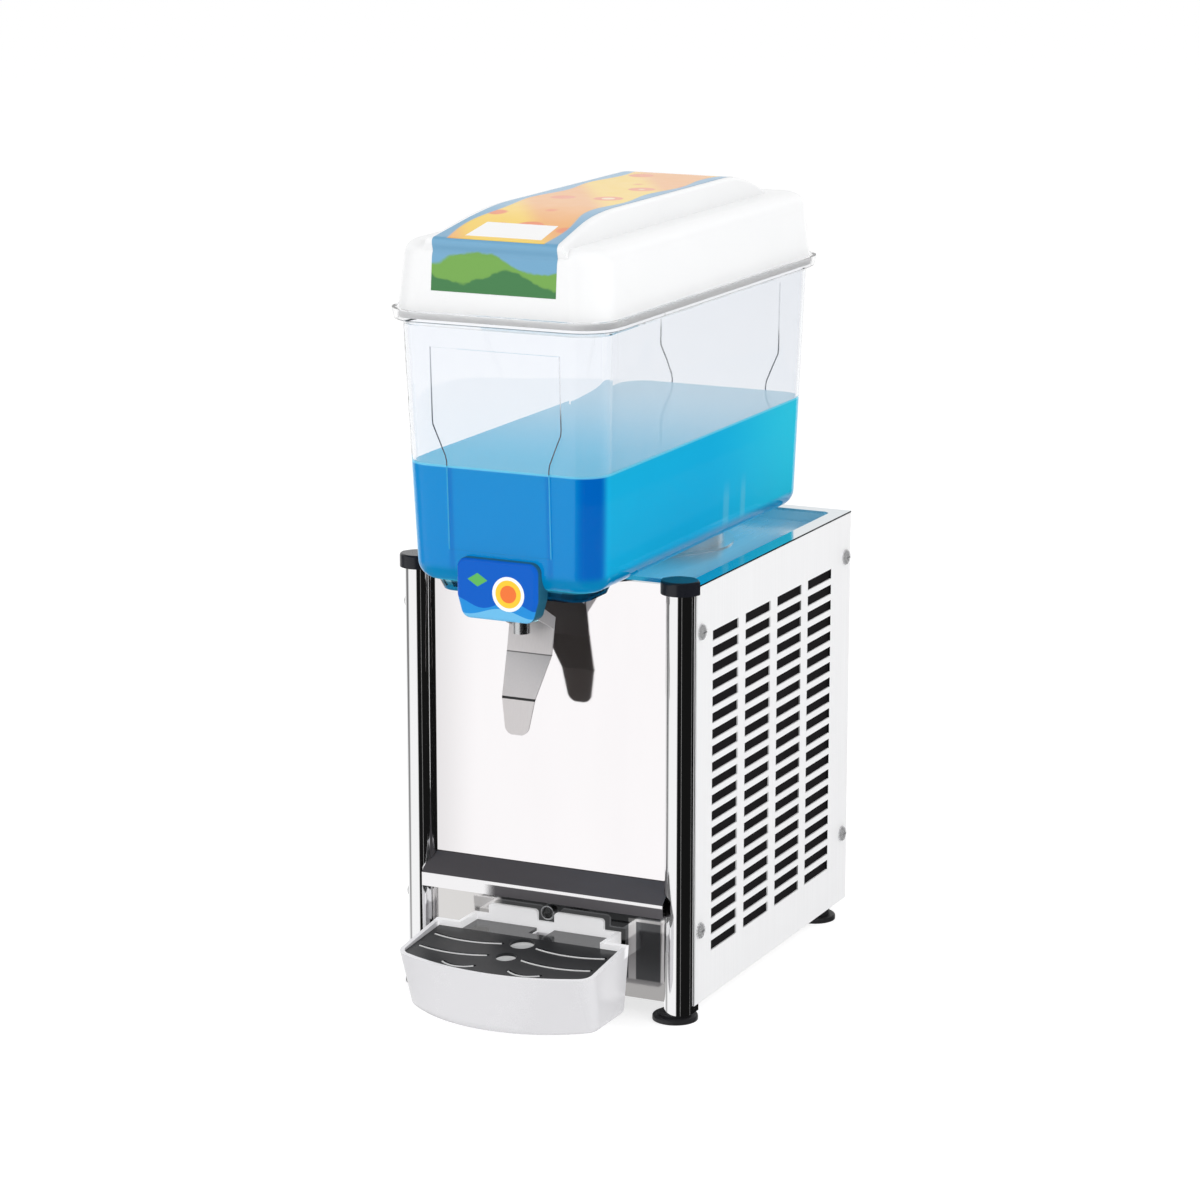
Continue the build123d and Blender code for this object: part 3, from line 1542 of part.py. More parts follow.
def rocker(x):
    """One rocker, drawn tilted to its off position, with its two pivot pins."""
    half = rocker_height / 2
    with BuildPart() as piece:
        with BuildSketch(Plane.YZ.offset(x - rocker_width / 2)):
            with Locations(Location((pivot_y, control_z, 0), (0, 0, -rocker_tilt))):
                Polygon(
                    (rocker_face, half),
                    (rocker_face + rocker_crown, half / 4),
                    (rocker_face + rocker_crown, -half / 4),
                    (rocker_face, -half),
                    (0, -half),
                    (-rocker_back, 0),
                    (0, half),
                    align=None,
                )
        extrude(amount=rocker_width)
        with BuildSketch(Plane.YZ.offset(x - pin_half)):
            with Locations((pivot_y, control_z)):
                Circle(rocker_pin)
        extrude(amount=2 * pin_half)
    return piece


write(rocker(switch_places[0]), "cooling_rocker")
write(rocker(switch_places[1]), "stirring_rocker")

thermostat_face = back_panel_y - sheet
spindle_length = thermostat_depth / 2
with BuildPart() as thermostat:
    with BuildSketch(upright_section(thermostat_face)):
        with Locations((knob_x, control_z)):
            Rectangle(thermostat_width, thermostat_height)
    extrude(amount=thermostat_depth)
    with BuildSketch(upright_section(thermostat_face)):
        with Locations((knob_x, control_z)):
            Circle(spindle_radius + running)
    extrude(amount=spindle_length, mode=Mode.SUBTRACT)
write(thermostat, "thermostat")

with BuildPart() as thermostat_knob:
    with BuildSketch(upright_section(back_panel_y + slack)):
        with Locations((knob_x, control_z)):
            Circle(knob_radius)
            with PolarLocations(knob_radius, knob_ribs):
                Circle(2 * sheet, mode=Mode.SUBTRACT)
    extrude(amount=-knob_height)
    with BuildSketch(upright_section(back_panel_y + slack)):
        with Locations((knob_x, control_z)):
            Circle(spindle_radius)
    extrude(amount=slack + sheet + spindle_length - slack)
    with BuildSketch(upright_section(back_panel_y + slack + knob_height)):
        with Locations((knob_x, control_z + knob_radius / 2)):
            Rectangle(sheet, knob_radius / 2)
    extrude(amount=sheet / 2, mode=Mode.SUBTRACT)
write(thermostat_knob, "thermostat_knob")

gland_z = base_z + gland_height
with BuildPart() as cord_gland:
    with BuildSketch(upright_section(back_panel_y)):
        with Locations((gland_x, gland_z)):
            Circle(gland_radius)
    extrude(amount=-gland_length / 4)
    with BuildSketch(upright_section(back_panel_y)):
        with Locations((gland_x, gland_z)):
            Circle(gland_radius * 0.7)
    extrude(amount=-gland_length)
    with BuildSketch(upright_section(back_panel_y)):
        with Locations((gland_x, gland_z)):
            Circle(gland_radius - gland_lip - fit)
    extrude(amount=gland_length / 2)
    with BuildSketch(upright_section(back_panel_y + gland_length)):
        with Locations((gland_x, gland_z)):
            Circle(gland_bore)
    extrude(amount=gland_length * 2, mode=Mode.SUBTRACT)
write(cord_gland, "cord_gland")
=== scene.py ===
"""Looks of a refrigerated juice dispenser: finishes, drink, prints and studio round its CAD frame."""

import logging
import math
from dataclasses import dataclass
from enum import Enum
from functools import cache
from itertools import product
from typing import ClassVar, Iterable, Sequence, Union

import bmesh
import bpy
from mathutils import Matrix, Vector
from mathutils.bvhtree import BVHTree


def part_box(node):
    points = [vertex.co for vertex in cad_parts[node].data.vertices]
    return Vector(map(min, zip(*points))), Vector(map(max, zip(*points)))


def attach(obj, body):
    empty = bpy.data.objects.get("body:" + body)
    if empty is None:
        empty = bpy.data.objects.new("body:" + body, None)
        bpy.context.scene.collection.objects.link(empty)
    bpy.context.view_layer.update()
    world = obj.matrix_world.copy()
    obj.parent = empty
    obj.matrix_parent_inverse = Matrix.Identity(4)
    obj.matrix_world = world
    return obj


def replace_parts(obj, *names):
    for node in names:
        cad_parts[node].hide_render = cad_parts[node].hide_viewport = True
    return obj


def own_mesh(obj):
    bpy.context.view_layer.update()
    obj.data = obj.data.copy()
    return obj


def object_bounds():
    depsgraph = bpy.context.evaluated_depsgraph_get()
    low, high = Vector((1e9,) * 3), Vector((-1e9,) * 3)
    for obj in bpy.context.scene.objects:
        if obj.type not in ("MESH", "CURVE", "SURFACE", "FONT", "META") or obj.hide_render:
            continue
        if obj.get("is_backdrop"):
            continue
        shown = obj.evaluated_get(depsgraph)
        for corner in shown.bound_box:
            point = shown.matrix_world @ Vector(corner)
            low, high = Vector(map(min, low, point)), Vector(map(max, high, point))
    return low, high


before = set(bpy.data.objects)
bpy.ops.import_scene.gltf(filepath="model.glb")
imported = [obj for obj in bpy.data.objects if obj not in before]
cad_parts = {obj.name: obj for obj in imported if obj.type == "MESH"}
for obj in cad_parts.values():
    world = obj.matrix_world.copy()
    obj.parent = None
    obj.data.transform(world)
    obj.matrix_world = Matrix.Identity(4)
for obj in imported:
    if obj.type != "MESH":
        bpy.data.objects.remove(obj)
log = logging.getLogger("juice_dispenser")

Colour = tuple[float, float, float]
Point = tuple[float, float, float]
Span = tuple[float, float]
Ring = list[bmesh.types.BMVert]
Feed = Union["Value", float, Sequence[float]]


class Value:
    """One output of a shader node, with arithmetic that adds Math nodes."""

    def __init__(self, graph: "Graph", socket: bpy.types.NodeSocket) -> None:
        """Keep the socket and the graph that it belongs to."""
        self.graph = graph
        self.socket = socket

    def math(self, operation: str, left: Feed, right: Feed = 0.0) -> "Value":
        """Add a Math node that works on one or two values."""
        return self.graph.node("ShaderNodeMath", {"operation": operation}, {0: left, 1: right})

    def __add__(self, other: Feed) -> "Value":
        """Sum."""
        return self.math("ADD", self, other)

    __radd__ = __add__

    def __sub__(self, other: Feed) -> "Value":
        """Difference."""
        return self.math("SUBTRACT", self, other)

    def __rsub__(self, other: Feed) -> "Value":
        """Difference from a plain number."""
        return self.math("SUBTRACT", other, self)

    def __mul__(self, other: Feed) -> "Value":
        """Product."""
        return self.math("MULTIPLY", self, other)

    __rmul__ = __mul__

    def __abs__(self) -> "Value":
        """Size without sign."""
        return self.math("ABSOLUTE", self)

    def __gt__(self, other: Feed) -> "Value":
        """One where this is greater, and zero elsewhere."""
        return self.math("GREATER_THAN", self, other)

    def __lt__(self, other: Feed) -> "Value":
        """One where this is smaller, and zero elsewhere."""
        return self.math("LESS_THAN", self, other)

    def sine(self) -> "Value":
        """Sine of this value in radians."""
        return self.math("SINE", self)

    def root(self) -> "Value":
        """Square root."""
        return self.math("SQRT", self)

    def larger(self, other: Feed) -> "Value":
        """The larger of two values."""
        return self.math("MAXIMUM", self, other)

    def smaller(self, other: Feed) -> "Value":
        """The smaller of two values."""
        return self.math("MINIMUM", self, other)

    def swing(self, size: float) -> "Value":
        """Noise from zero to one, turned into a change of this size about zero."""
        return (self - 0.5) * size

    def edge(self, place: float, reach: float) -> "Value":
        """Smooth step at a place, which falls where the reach is below zero."""
        return self.ramp(place - reach, place + reach)

    def ramp(self, low: float, high: float) -> "Value":
        """Smooth step from zero at low to one at high."""
        feeds = {"Value": self, "From Min": low, "From Max": high}
        return self.graph.node("ShaderNodeMapRange", {"interpolation_type": "SMOOTHSTEP"}, feeds)


class Graph:
    """A shader node tree that is written as Python calls."""

    def __init__(self, tree: bpy.types.NodeTree) -> None:
        """Keep the tree."""
        self.tree = tree

    def node(self, kind: str, settings: dict | None = None, feeds: dict | None = None,
             output: int | str = 0) -> Value:
        """Add any node.

        Args:
            kind: the node's type.
            settings: its properties, which are set first.
            feeds: the values or links of its sockets, by name or number.
            output: the socket to return.

        Returns:
            That output.
        """
        made = self.tree.nodes.new(kind)
        for name, value in (settings or {}).items():
            setattr(made, name, value)
        for key, value in (feeds or {}).items():
            self.feed(made.inputs[key], value)
        return Value(self, made.outputs[output])

    def feed(self, socket: bpy.types.NodeSocket, value: Feed) -> None:
        """Link a value to a socket, or set the socket's own number or colour."""
        if isinstance(value, Value):
            self.tree.links.new(value.socket, socket)
        elif socket.type == "RGBA":
            socket.default_value = (*value, 1.0)[:4]
        else:
            socket.default_value = value

    def place(self) -> Value:
        """Position on the object, in metres."""
        return self.node("ShaderNodeTexCoord", output="Object")

    def axes(self, vector: Value) -> tuple[Value, Value, Value]:
        """The three parts of a vector."""
        split = self.node("ShaderNodeSeparateXYZ", feeds={0: vector}).socket.node
        return tuple(Value(self, part) for part in split.outputs)

    def spot(self) -> tuple[Value, Value, Value]:
        """The three parts of the position on the object."""
        return self.axes(self.place())

    def facing(self) -> tuple[Value, Value, Value]:
        """The three parts of the way that the surface faces."""
        return self.axes(self.node("ShaderNodeTexCoord", output="Normal"))

    def stretch(self, scale: Sequence[float], vector: Value | None = None) -> Value:
        """A vector, or the position on the object, with each axis scaled."""
        feeds = {0: vector or self.place(), 1: tuple(scale)}
        return self.node("ShaderNodeVectorMath", {"operation": "MULTIPLY"}, feeds)

    def noise(self, scale: float, detail: float = 2.0, vector: Value | None = None) -> Value:
        """Soft noise from zero to one, with so many blotches to a metre and so many finer layers."""
        feeds = {"Vector": vector or self.place(), "Scale": scale, "Detail": detail}
        return self.node("ShaderNodeTexNoise", feeds=feeds)

    def mix(self, factor: Feed, first: Feed, second: Feed) -> Value:
        """Blend two colours by a factor."""
        feeds = {0: factor, 6: first, 7: second}
        return self.node("ShaderNodeMix", {"data_type": "RGBA"}, feeds, output=2)

    def shades(self, factor: Value, colour: Colour, low: float, high: float) -> Value:
        """Blend two tones of one colour by a factor."""
        return self.mix(factor, tone(colour, low), tone(colour, high))

    def bump(self, height: Value, strength: float, distance: float) -> Value:
        """A surface normal that follows a height."""
        feeds = {"Height": height, "Strength": strength, "Distance": distance}
        return self.node("ShaderNodeBump", feeds=feeds)

    def surface(self, feeds: dict[str, Feed]) -> None:
        """Set or link sockets of the tree's Principled shader."""
        shader = self.tree.nodes["Principled BSDF"]
        for name, value in feeds.items():
            self.feed(shader.inputs[name], value)


def tone(colour: Colour, factor: float) -> Colour:
    """A colour made darker or lighter by a factor."""
    return tuple(min(1.0, part * factor) for part in colour)


@dataclass(frozen=True)
class Finish:
    """What a surface is made of; each kind says how it varies over the surface."""

    name: str
    colour: Colour
    roughness: float

    def material(self) -> bpy.types.Material:
        """Make the Blender material of this finish."""
        made = bpy.data.materials.new(self.name)
        made.use_nodes = True
        self.shade(Graph(made.node_tree))
        return made

    def shade(self, graph: Graph) -> None:
        """Lay the finish's nodes."""
        raise NotImplementedError


class Grain(Enum):
    """The way that a sheet was brushed, as the stretch of its scratches along each axis."""

    UPRIGHT = (1.0, 1.0, 0.012)
    ALONG_DEPTH = (1.0, 0.012, 1.0)
    ACROSS = (0.012, 1.0, 1.0)
    TURNED = (1.0, 1.0, 1.0)


@dataclass(frozen=True)
class BrushedSteel(Finish):
    """Sheet or turned steel with fine scratches."""

    grain: Grain = Grain.UPRIGHT
    metallic: float = 1.0
    scratch: float = 0.08

    def tint(self, graph: Graph, streaks: Value) -> Value:
        """The sheet's colour, with its scratches."""
        return graph.shades(streaks, self.colour, 0.94, 1.05)

    def shade(self, graph: Graph) -> None:
        """Scratches in colour, gloss and relief, with faint hand marks over them."""
        streaks = graph.noise(900.0, 3.0, graph.stretch(self.grain.value))
        marks = graph.noise(9.0, 4.0)
        graph.surface({
            "Base Color": self.tint(graph, streaks),
            "Metallic": self.metallic,
            "Roughness": self.roughness + streaks.swing(0.16) + marks.swing(0.08),
            "Normal": graph.bump(streaks, self.scratch, 0.0004),
        })


@dataclass(frozen=True)
class DeckSteel(BrushedSteel):
    """Satin deck sheet whose flange round the recess is polished."""

    flange: Colour = (0.66, 0.71, 0.74)
    step_z: float = 0.347

    def shade(self, graph: Graph) -> None:
        """Scratches on the floor, and a clear reflection on the flange."""
        _, _, height = graph.spot()
        raised = height.edge(self.step_z, 0.0005)
        streaks = graph.noise(900.0, 3.0, graph.stretch(self.grain.value))
        graph.surface({
            "Base Color": graph.mix(raised, self.tint(graph, streaks), self.flange),
            "Metallic": self.metallic + raised * (1.0 - self.metallic),
            "Roughness": (self.roughness + streaks.swing(0.16)) * (1.0 - raised * 0.6),
            "Normal": graph.bump(streaks, self.scratch, 0.0004),
        })


@dataclass(frozen=True)
class PanelSteel(BrushedSteel):
    """Satin panel sheet with a dark dull coat on the side that faces into the machine."""

    inner: Colour = (0.012, 0.012, 0.014)
    inward: Span = (-0.02, -0.07)
    middle_y: float = 0.05

    def tint(self, graph: Graph, streaks: Value) -> Value:
        """Bright outside, and dark on what faces the machine's middle."""
        x, y, _ = graph.spot()
        across, along, _ = graph.facing()
        outward = across * x + along * (y - self.middle_y)
        return graph.mix(outward.ramp(*self.inward), super().tint(graph, streaks), self.inner)


@dataclass(frozen=True)
class LeverSteel(BrushedSteel):
    """Satin lever sheet with painted shade in its bends and on its back."""

    # Painted shade colours for the back and the bends.
    back: Colour = (0.105, 0.092, 0.085)
    crease_shade: Colour = (0.02, 0.02, 0.02)
    bends: Span = (0.2912, 0.2592)

    def tint(self, graph: Graph, streaks: Value) -> Value:
        """Bright in front, with a painted shade line in each bend and painted shade on the back."""
        _, _, height = graph.spot()
        _, along, _ = graph.facing()
        upper, lower = (abs(height - bend) for bend in self.bends)
        # Painted shade: a dark line in each bend.
        line = upper.ramp(0.0006, 0.0003) * 0.7 + lower.ramp(0.0011, 0.0008)
        sheet = graph.mix(line, super().tint(graph, streaks), self.crease_shade)
        # Painted shade: the back is dark.
        return graph.mix(along.ramp(0.2, 0.5), sheet, self.back)


@dataclass(frozen=True)
class MirrorSteel(Finish):
    """Polished sheet with the slight waves and wiping marks of the real one."""

    waviness: float = 0.02

    def tint(self, graph: Graph, wipes: Value) -> Value:
        """The sheet's colour, a little uneven where it was wiped."""
        return graph.shades(wipes, self.colour, 0.97, 1.02)

    def shade(self, graph: Graph) -> None:
        """Nearly even reflection, dulled a little by wiping marks."""
        wipes = graph.noise(26.0, 5.0, graph.stretch((1.0, 1.0, 0.25)))
        waves = graph.noise(14.0, 1.0)
        graph.surface({
            "Base Color": self.tint(graph, wipes),
            "Metallic": 1.0,
            "Roughness": self.roughness + wipes.ramp(0.45, 0.9) * 0.06,
            "Normal": graph.bump(waves, self.waviness, 0.002),
        })


@dataclass(frozen=True)
class FrontSteel(MirrorSteel):
    """The polished front, with painted shade that greys it a little towards its left post."""

    left: Span = (-0.060, -0.105)
    left_shade_tone: float = 0.82

    def tint(self, graph: Graph, wipes: Value) -> Value:
        """The sheet's colour, darker at the left with painted shade."""
        x, _, _ = graph.spot()
        # Painted shade greys the left side.
        grey = tone(self.colour, self.left_shade_tone)
        return graph.mix(x.ramp(*self.left), super().tint(graph, wipes), grey)


@dataclass(frozen=True)
class KickSteel(MirrorSteel):
    """The polished sheet behind the tray, with a painted dark reflection inside a bright margin and a
    painted darker foot.
    """

    # Painted dark reflection colour.
    dark_reflection: Colour = (0.12, 0.122, 0.125)
    left: float = -0.045
    right: float = 0.0968
    low: float = 0.027
    # Painted darker reflection at the foot, as a share of the sheet's colour.
    foot: float = 0.56
    borders: tuple[Span, ...] = ((0.069, 0.0768), (0.0755, 0.0745))
    border_soft: float = 0.0004

    def tint(self, graph: Graph, wipes: Value) -> Value:
        """The sheet's colour at its margins and on the border, the painted dark reflection between them,
        and a darker painted reflection at the foot.
        """
        x, _, z = graph.spot()
        inside = x.edge(self.left, 0.004) * x.edge(self.right, -0.0006) * z.edge(self.low, 0.001)
        soft = self.border_soft
        outer, inner = (x.edge(side, soft) * z.edge(top, -soft) for side, top in self.borders)
        inside = inside * (1.0 - outer * (1.0 - inner))
        # Painted darker reflection along the foot.
        below = z.edge(self.low, -0.001)
        sheet = graph.mix(below, super().tint(graph, wipes), tone(self.colour, self.foot))
        # Painted dark reflection inside the margin, uneven where wiped.
        return graph.mix(inside, sheet, graph.shades(wipes, self.dark_reflection, 1.0, 1.3))


@dataclass(frozen=True)
class LedgeSteel(Finish):
    """Polished sheet whose sloping face carries a painted dark reflection on a duller finish."""

    dark_reflection: Colour = (0.085, 0.08, 0.087)
    line_low: float = 0.0934
    left: float = -0.045

    def shade(self, graph: Graph) -> None:
        """The painted dark reflection covers the slope and most of the lip, and leaves a bright line at
        the fold.
        """
        _, _, up = graph.facing()
        x, _, height = graph.spot()
        lip = height.edge(self.line_low, -0.0003) * x.edge(self.left, 0.006)
        dark_reflection_mask = up.ramp(0.3, 0.4).larger(lip)
        rubs = graph.noise(40.0, 5.0, graph.stretch((0.3, 1.0, 1.0)))
        graph.surface({
            # Painted dark reflection on the slope and lip, uneven where rubbed; the metal is duller
            # there too.
            "Base Color": graph.mix(dark_reflection_mask, self.colour, graph.shades(rubs, self.dark_reflection, 1.0, 1.3)),
            "Metallic": 1.0 - dark_reflection_mask * 0.75,
            "Roughness": self.roughness + dark_reflection_mask * 0.22 + rubs.swing(0.08),
            "Normal": graph.bump(rubs, 0.02, 0.0005),
        })


@dataclass(frozen=True)
class MouldedPlastic(Finish):
    """Moulded plastic with a faint grain and an uneven sheen."""

    relief: float
    gloss: float
    scuff: float = 0.06
    mirror: float = 0.5

    def shade(self, graph: Graph) -> None:
        """Cloudy colour, an uneven sheen and a fine moulded grain."""
        clouds = graph.noise(18.0, 4.0)
        grain = graph.noise(1400.0, 2.0)
        graph.surface({
            "Base Color": graph.shades(clouds, self.colour, 1 - self.scuff, 1 + self.scuff),
            "Roughness": self.roughness + clouds.swing(0.12) + grain.swing(0.05),
            "Specular IOR Level": self.mirror,
            "Coat Weight": self.gloss,
            "Coat Roughness": 0.08,
            "Normal": graph.bump(grain, self.relief, 0.0003),
        })


@dataclass(frozen=True)
class PaintedLightPlastic(MouldedPlastic):
    """White plastic with painted light in its heel and on its rim."""

    painted_light: float = 0.36
    rim_share: float = 0.45
    heel: Span = (-0.150, -0.144)
    heel_foot: Span = (0.0555, 0.0575)
    rim_foot: Span = (0.050, 0.054)

    def shade(self, graph: Graph) -> None:
        """The moulded plastic, with emission as painted light in the shaded heel and on the rim."""
        super().shade(graph)
        _, y, z = graph.spot()
        _, _, up = graph.facing()
        heel = y.ramp(*self.heel) * z.ramp(*self.heel_foot)
        rim = up.ramp(0.6, 0.8) * z.ramp(*self.rim_foot) * self.rim_share
        # Painted light: emission brightens the heel and the rim.
        graph.surface({
            "Emission Color": graph.mix(heel.larger(rim), (0.0, 0.0, 0.0), (self.painted_light,) * 3),
            "Emission Strength": 1.0,
        })


@dataclass(frozen=True)
class Rubber(Finish):
    """Dull rubber with dust in its grain."""

    def shade(self, graph: Graph) -> None:
        """Grey dust where the grain is low."""
        grain = graph.noise(700.0, 3.0)
        dust = graph.noise(45.0, 5.0).ramp(0.5, 0.85)
        graph.surface({
            "Base Color": graph.shades(dust * 0.35, self.colour, 1.0, 2.6),
            "Roughness": self.roughness + grain.swing(0.2),
            "Normal": graph.bump(grain, 0.15, 0.0004),
        })


@dataclass(frozen=True)
class WovenScreen(Finish):
    """Fine woven screen, with its threads in relief."""

    pitch: float = 0.0012

    def shade(self, graph: Graph) -> None:
        """Threads cross in a small square weave."""
        _, y, z = graph.spot()
        turns = math.tau / self.pitch
        weave = abs((y * turns).sine() * (z * turns).sine())
        graph.surface({
            "Base Color": graph.shades(weave, self.colour, 0.4, 1.0),
            "Roughness": self.roughness + weave * 0.1,
            "Specular IOR Level": 0.1,
            "Normal": graph.bump(weave, 0.3, 0.0003),
        })


@dataclass(frozen=True)
class ClearPlastic(Finish):
    """Clear moulded plastic with the slight waves of a moulded wall."""

    bend: float = 1.46
    haze: float = 0.03
    mirror: float = 0.5

    def tint(self, graph: Graph, haze: Value) -> Value:
        """The colour that light takes on, a little duller where the wall is hazy."""
        return graph.shades(haze, self.colour, 1.0, 0.985)

    def shade(self, graph: Graph) -> None:
        """Light passes through, a little blurred where the wall is hazy."""
        waves = graph.noise(11.0, 2.0)
        haze = graph.noise(60.0, 4.0).ramp(0.45, 0.95)
        graph.surface({
            "Base Color": self.tint(graph, haze),
            "Roughness": self.roughness + haze * self.haze,
            "Transmission Weight": 1.0,
            "Specular IOR Level": self.mirror,
            "IOR": self.bend,
            "Normal": graph.bump(waves, 0.04, 0.004),
        })


@dataclass(frozen=True)
class TubPlastic(ClearPlastic):
    """The tank's clear plastic, greyer in its thick rim and teal in the sump under its floor."""

    rim: Colour = (0.98, 0.98, 0.985)
    sump: Colour = (0.03, 0.16, 0.24)
    rim_low: float = 0.551
    sump_top: float = 0.3506

    def tint(self, graph: Graph, haze: Value) -> Value:
        """Clear between the floor and the neck, tinted above and below."""
        _, _, height = graph.spot()
        above = height.ramp(self.rim_low - 0.002, self.rim_low)
        wall = graph.mix(above, super().tint(graph, haze), self.rim)
        return graph.mix(height.ramp(self.sump_top, self.sump_top - 0.001), wall, self.sump)


@dataclass(frozen=True)
class PadLine(Finish):
    """The moulded edge of the tank's end fields: dark against the air, and pale against the drink."""

    wet: Colour = (0.06, 0.42, 0.70)
    pale: Colour = (0.50, 0.53, 0.58)
    level: float = 0.444
    fading: Span = (0.475, 0.535)
    clearing: Span = (0.478, 0.500)

    def shade(self, graph: Graph) -> None:
        """Dark at the bend, washed out further up by painted light, and pale under the drink's level."""
        x, y, height = graph.spot()
        ripple = graph.noise(160.0, 2.0)
        # Painted light: the edge pales higher up, and clears there everywhere but in the front-left
        # quarter.
        dry = graph.mix(height.ramp(*self.fading), self.colour, self.pale)
        lit = 1.0 - (x < 0.0) * (y < 0.0)
        graph.surface({
            "Base Color": graph.mix(height.edge(self.level, -0.0005), dry, self.wet),
            "Roughness": self.roughness + ripple.swing(0.1),
            "Specular IOR Level": 0.1,
            "Alpha": 1.0 - lit * height.ramp(*self.clearing) * 0.85,
        })


@dataclass(frozen=True)
class Drink(Finish):
    """A blue drink in painted light and shade: darker in its front, lighter in its sides, pale on its
    surface, and bright mostly by its own emission.
    """

    # Lit and shaded copies of the drink's colour, painted: lighter sides and top, dark corners and foot,
    # a highlight at the level, glints, and a lighter underside.
    side: Colour = (0.012, 0.53, 0.86)
    lit_flank: Colour = (0.035, 0.68, 0.88)
    surface: Colour = (0.065, 0.46, 0.69)
    far_surface_light: Colour = (0.42, 0.61, 0.72)
    corner: Colour = (0.0, 0.14, 0.56)
    low_shade: Colour = (0.0, 0.24, 0.50)
    edge: Colour = (0.22, 0.78, 0.98)
    under: Colour = (0.05, 0.52, 0.76)
    foot: Colour = (0.0, 0.14, 0.50)
    glint: Colour = (0.25, 0.72, 0.84)
    unlit: Colour = (0.0, 0.02, 0.06)
    glints: tuple[tuple[float, float, float], ...] = ((0.0845, 0.007, 0.002), (0.0505, 0.008, 0.003))
    glint_top: Span = (0.402, 0.380)
    shade_line_x: float = 0.0415
    far: Span = (-0.17, 0.20)
    low: float = 0.352
    high: float = 0.444

    def shade(self, graph: Graph) -> None:
        """Painted light and shade by place and by the way each face looks: dark corners and front lines,
        a darker foot, painted glints low in each side, a painted highlight at its level, and a pale top.
        """
        x, y, height = graph.spot()
        across, along, up = graph.facing()
        cloud = graph.noise(22.0, 3.0)
        depth = (height + cloud.swing(0.03)).ramp(self.low - 0.03, self.high)
        # Painted light: the sides are lighter, more so towards the back, with two painted glints low in
        # each side.
        lit_flank = graph.mix(y.ramp(0.0, 0.2), self.side, self.lit_flank)
        first, second = (abs(y - middle).ramp(wide, narrow) for middle, wide, narrow in self.glints)
        lit_flank = graph.mix((first + second) * height.ramp(*self.glint_top) * 0.30, lit_flank, self.glint)
        # Painted shade: two dark lines on the front and back.
        shade_lines = abs(abs(x) - self.shade_line_x).ramp(0.0035, 0.0010)
        wall = graph.mix(shade_lines * 0.45, self.colour, self.corner)
        wall = graph.mix(abs(across).ramp(0.55, 0.97), wall, lit_flank)
        # Painted shade: dark right-hand corners.
        wall = graph.mix((across * abs(along)).ramp(0.10, 0.45), wall, self.corner)
        # Painted shade darkens the lower part and the downward rounding; a painted highlight runs along
        # the level.
        wall = graph.mix(depth, graph.mix(0.18, wall, self.foot), wall)
        wall = graph.mix(height.ramp(self.high - 0.0022, self.high - 0.0010) * 0.75, wall, self.edge)
        wall = graph.mix(height.ramp(self.low + 0.016, self.low + 0.005) * 0.7, wall, self.low_shade)
        wall = graph.mix(up.ramp(-0.1, -0.45) * 0.85, wall, self.low_shade)
        # Painted light: a pale top, paler towards the back, and a lighter flat underside.
        level = graph.mix(y.ramp(*self.far), self.surface, self.far_surface_light)
        face = graph.mix(up.ramp(0.6, 0.95), wall, level)
        face = graph.mix(up.ramp(-0.8, -0.95), face, self.under)
        # Painted light: most of the brightness is emission over a darkened base colour.
        graph.surface({
            "Base Color": graph.mix(0.6, face, self.unlit),
            "Roughness": self.roughness + cloud * 0.03,
            "Specular IOR Level": 0.1,
            "IOR": 1.33,
            "Emission Color": face,
            "Emission Strength": 0.72,
        })


@dataclass(frozen=True)
class DrawnCopper(Finish):
    """Copper tube, bright with brown tarnish in blotches."""

    def shade(self, graph: Graph) -> None:
        """Tarnish darkens and dulls the copper."""
        tarnish = graph.noise(70.0, 5.0).ramp(0.42, 0.75)
        graph.surface({
            "Base Color": graph.shades(tarnish, self.colour, 1.0, 0.45),
            "Metallic": 1.0,
            "Roughness": self.roughness + tarnish * 0.3,
            "Normal": graph.bump(tarnish, 0.08, 0.0004),
        })


@dataclass(frozen=True)
class PaintedShell(Finish):
    """Sprayed paint with orange peel and dust."""

    dust: Colour = (0.32, 0.31, 0.29)

    def shade(self, graph: Graph) -> None:
        """Orange peel in relief and pale dust in patches."""
        peel = graph.noise(420.0, 2.0)
        dust = graph.noise(30.0, 6.0).ramp(0.5, 0.9)
        graph.surface({
            "Base Color": graph.mix(dust * 0.3, self.colour, self.dust),
            "Roughness": self.roughness + dust * 0.25,
            "Normal": graph.bump(peel, 0.2, 0.0003),
        })


@dataclass(frozen=True)
class Foam(Finish):
    """Rigid foam with open cells on its cut faces."""

    def shade(self, graph: Graph) -> None:
        """Cells in colour and relief."""
        cells = graph.node("ShaderNodeTexVoronoi", feeds={"Vector": graph.place(), "Scale": 320.0})
        graph.surface({
            "Base Color": graph.shades(cells, self.colour, 0.7, 1.0),
            "Roughness": self.roughness,
            "Normal": graph.bump(cells, 0.5, 0.001),
        })


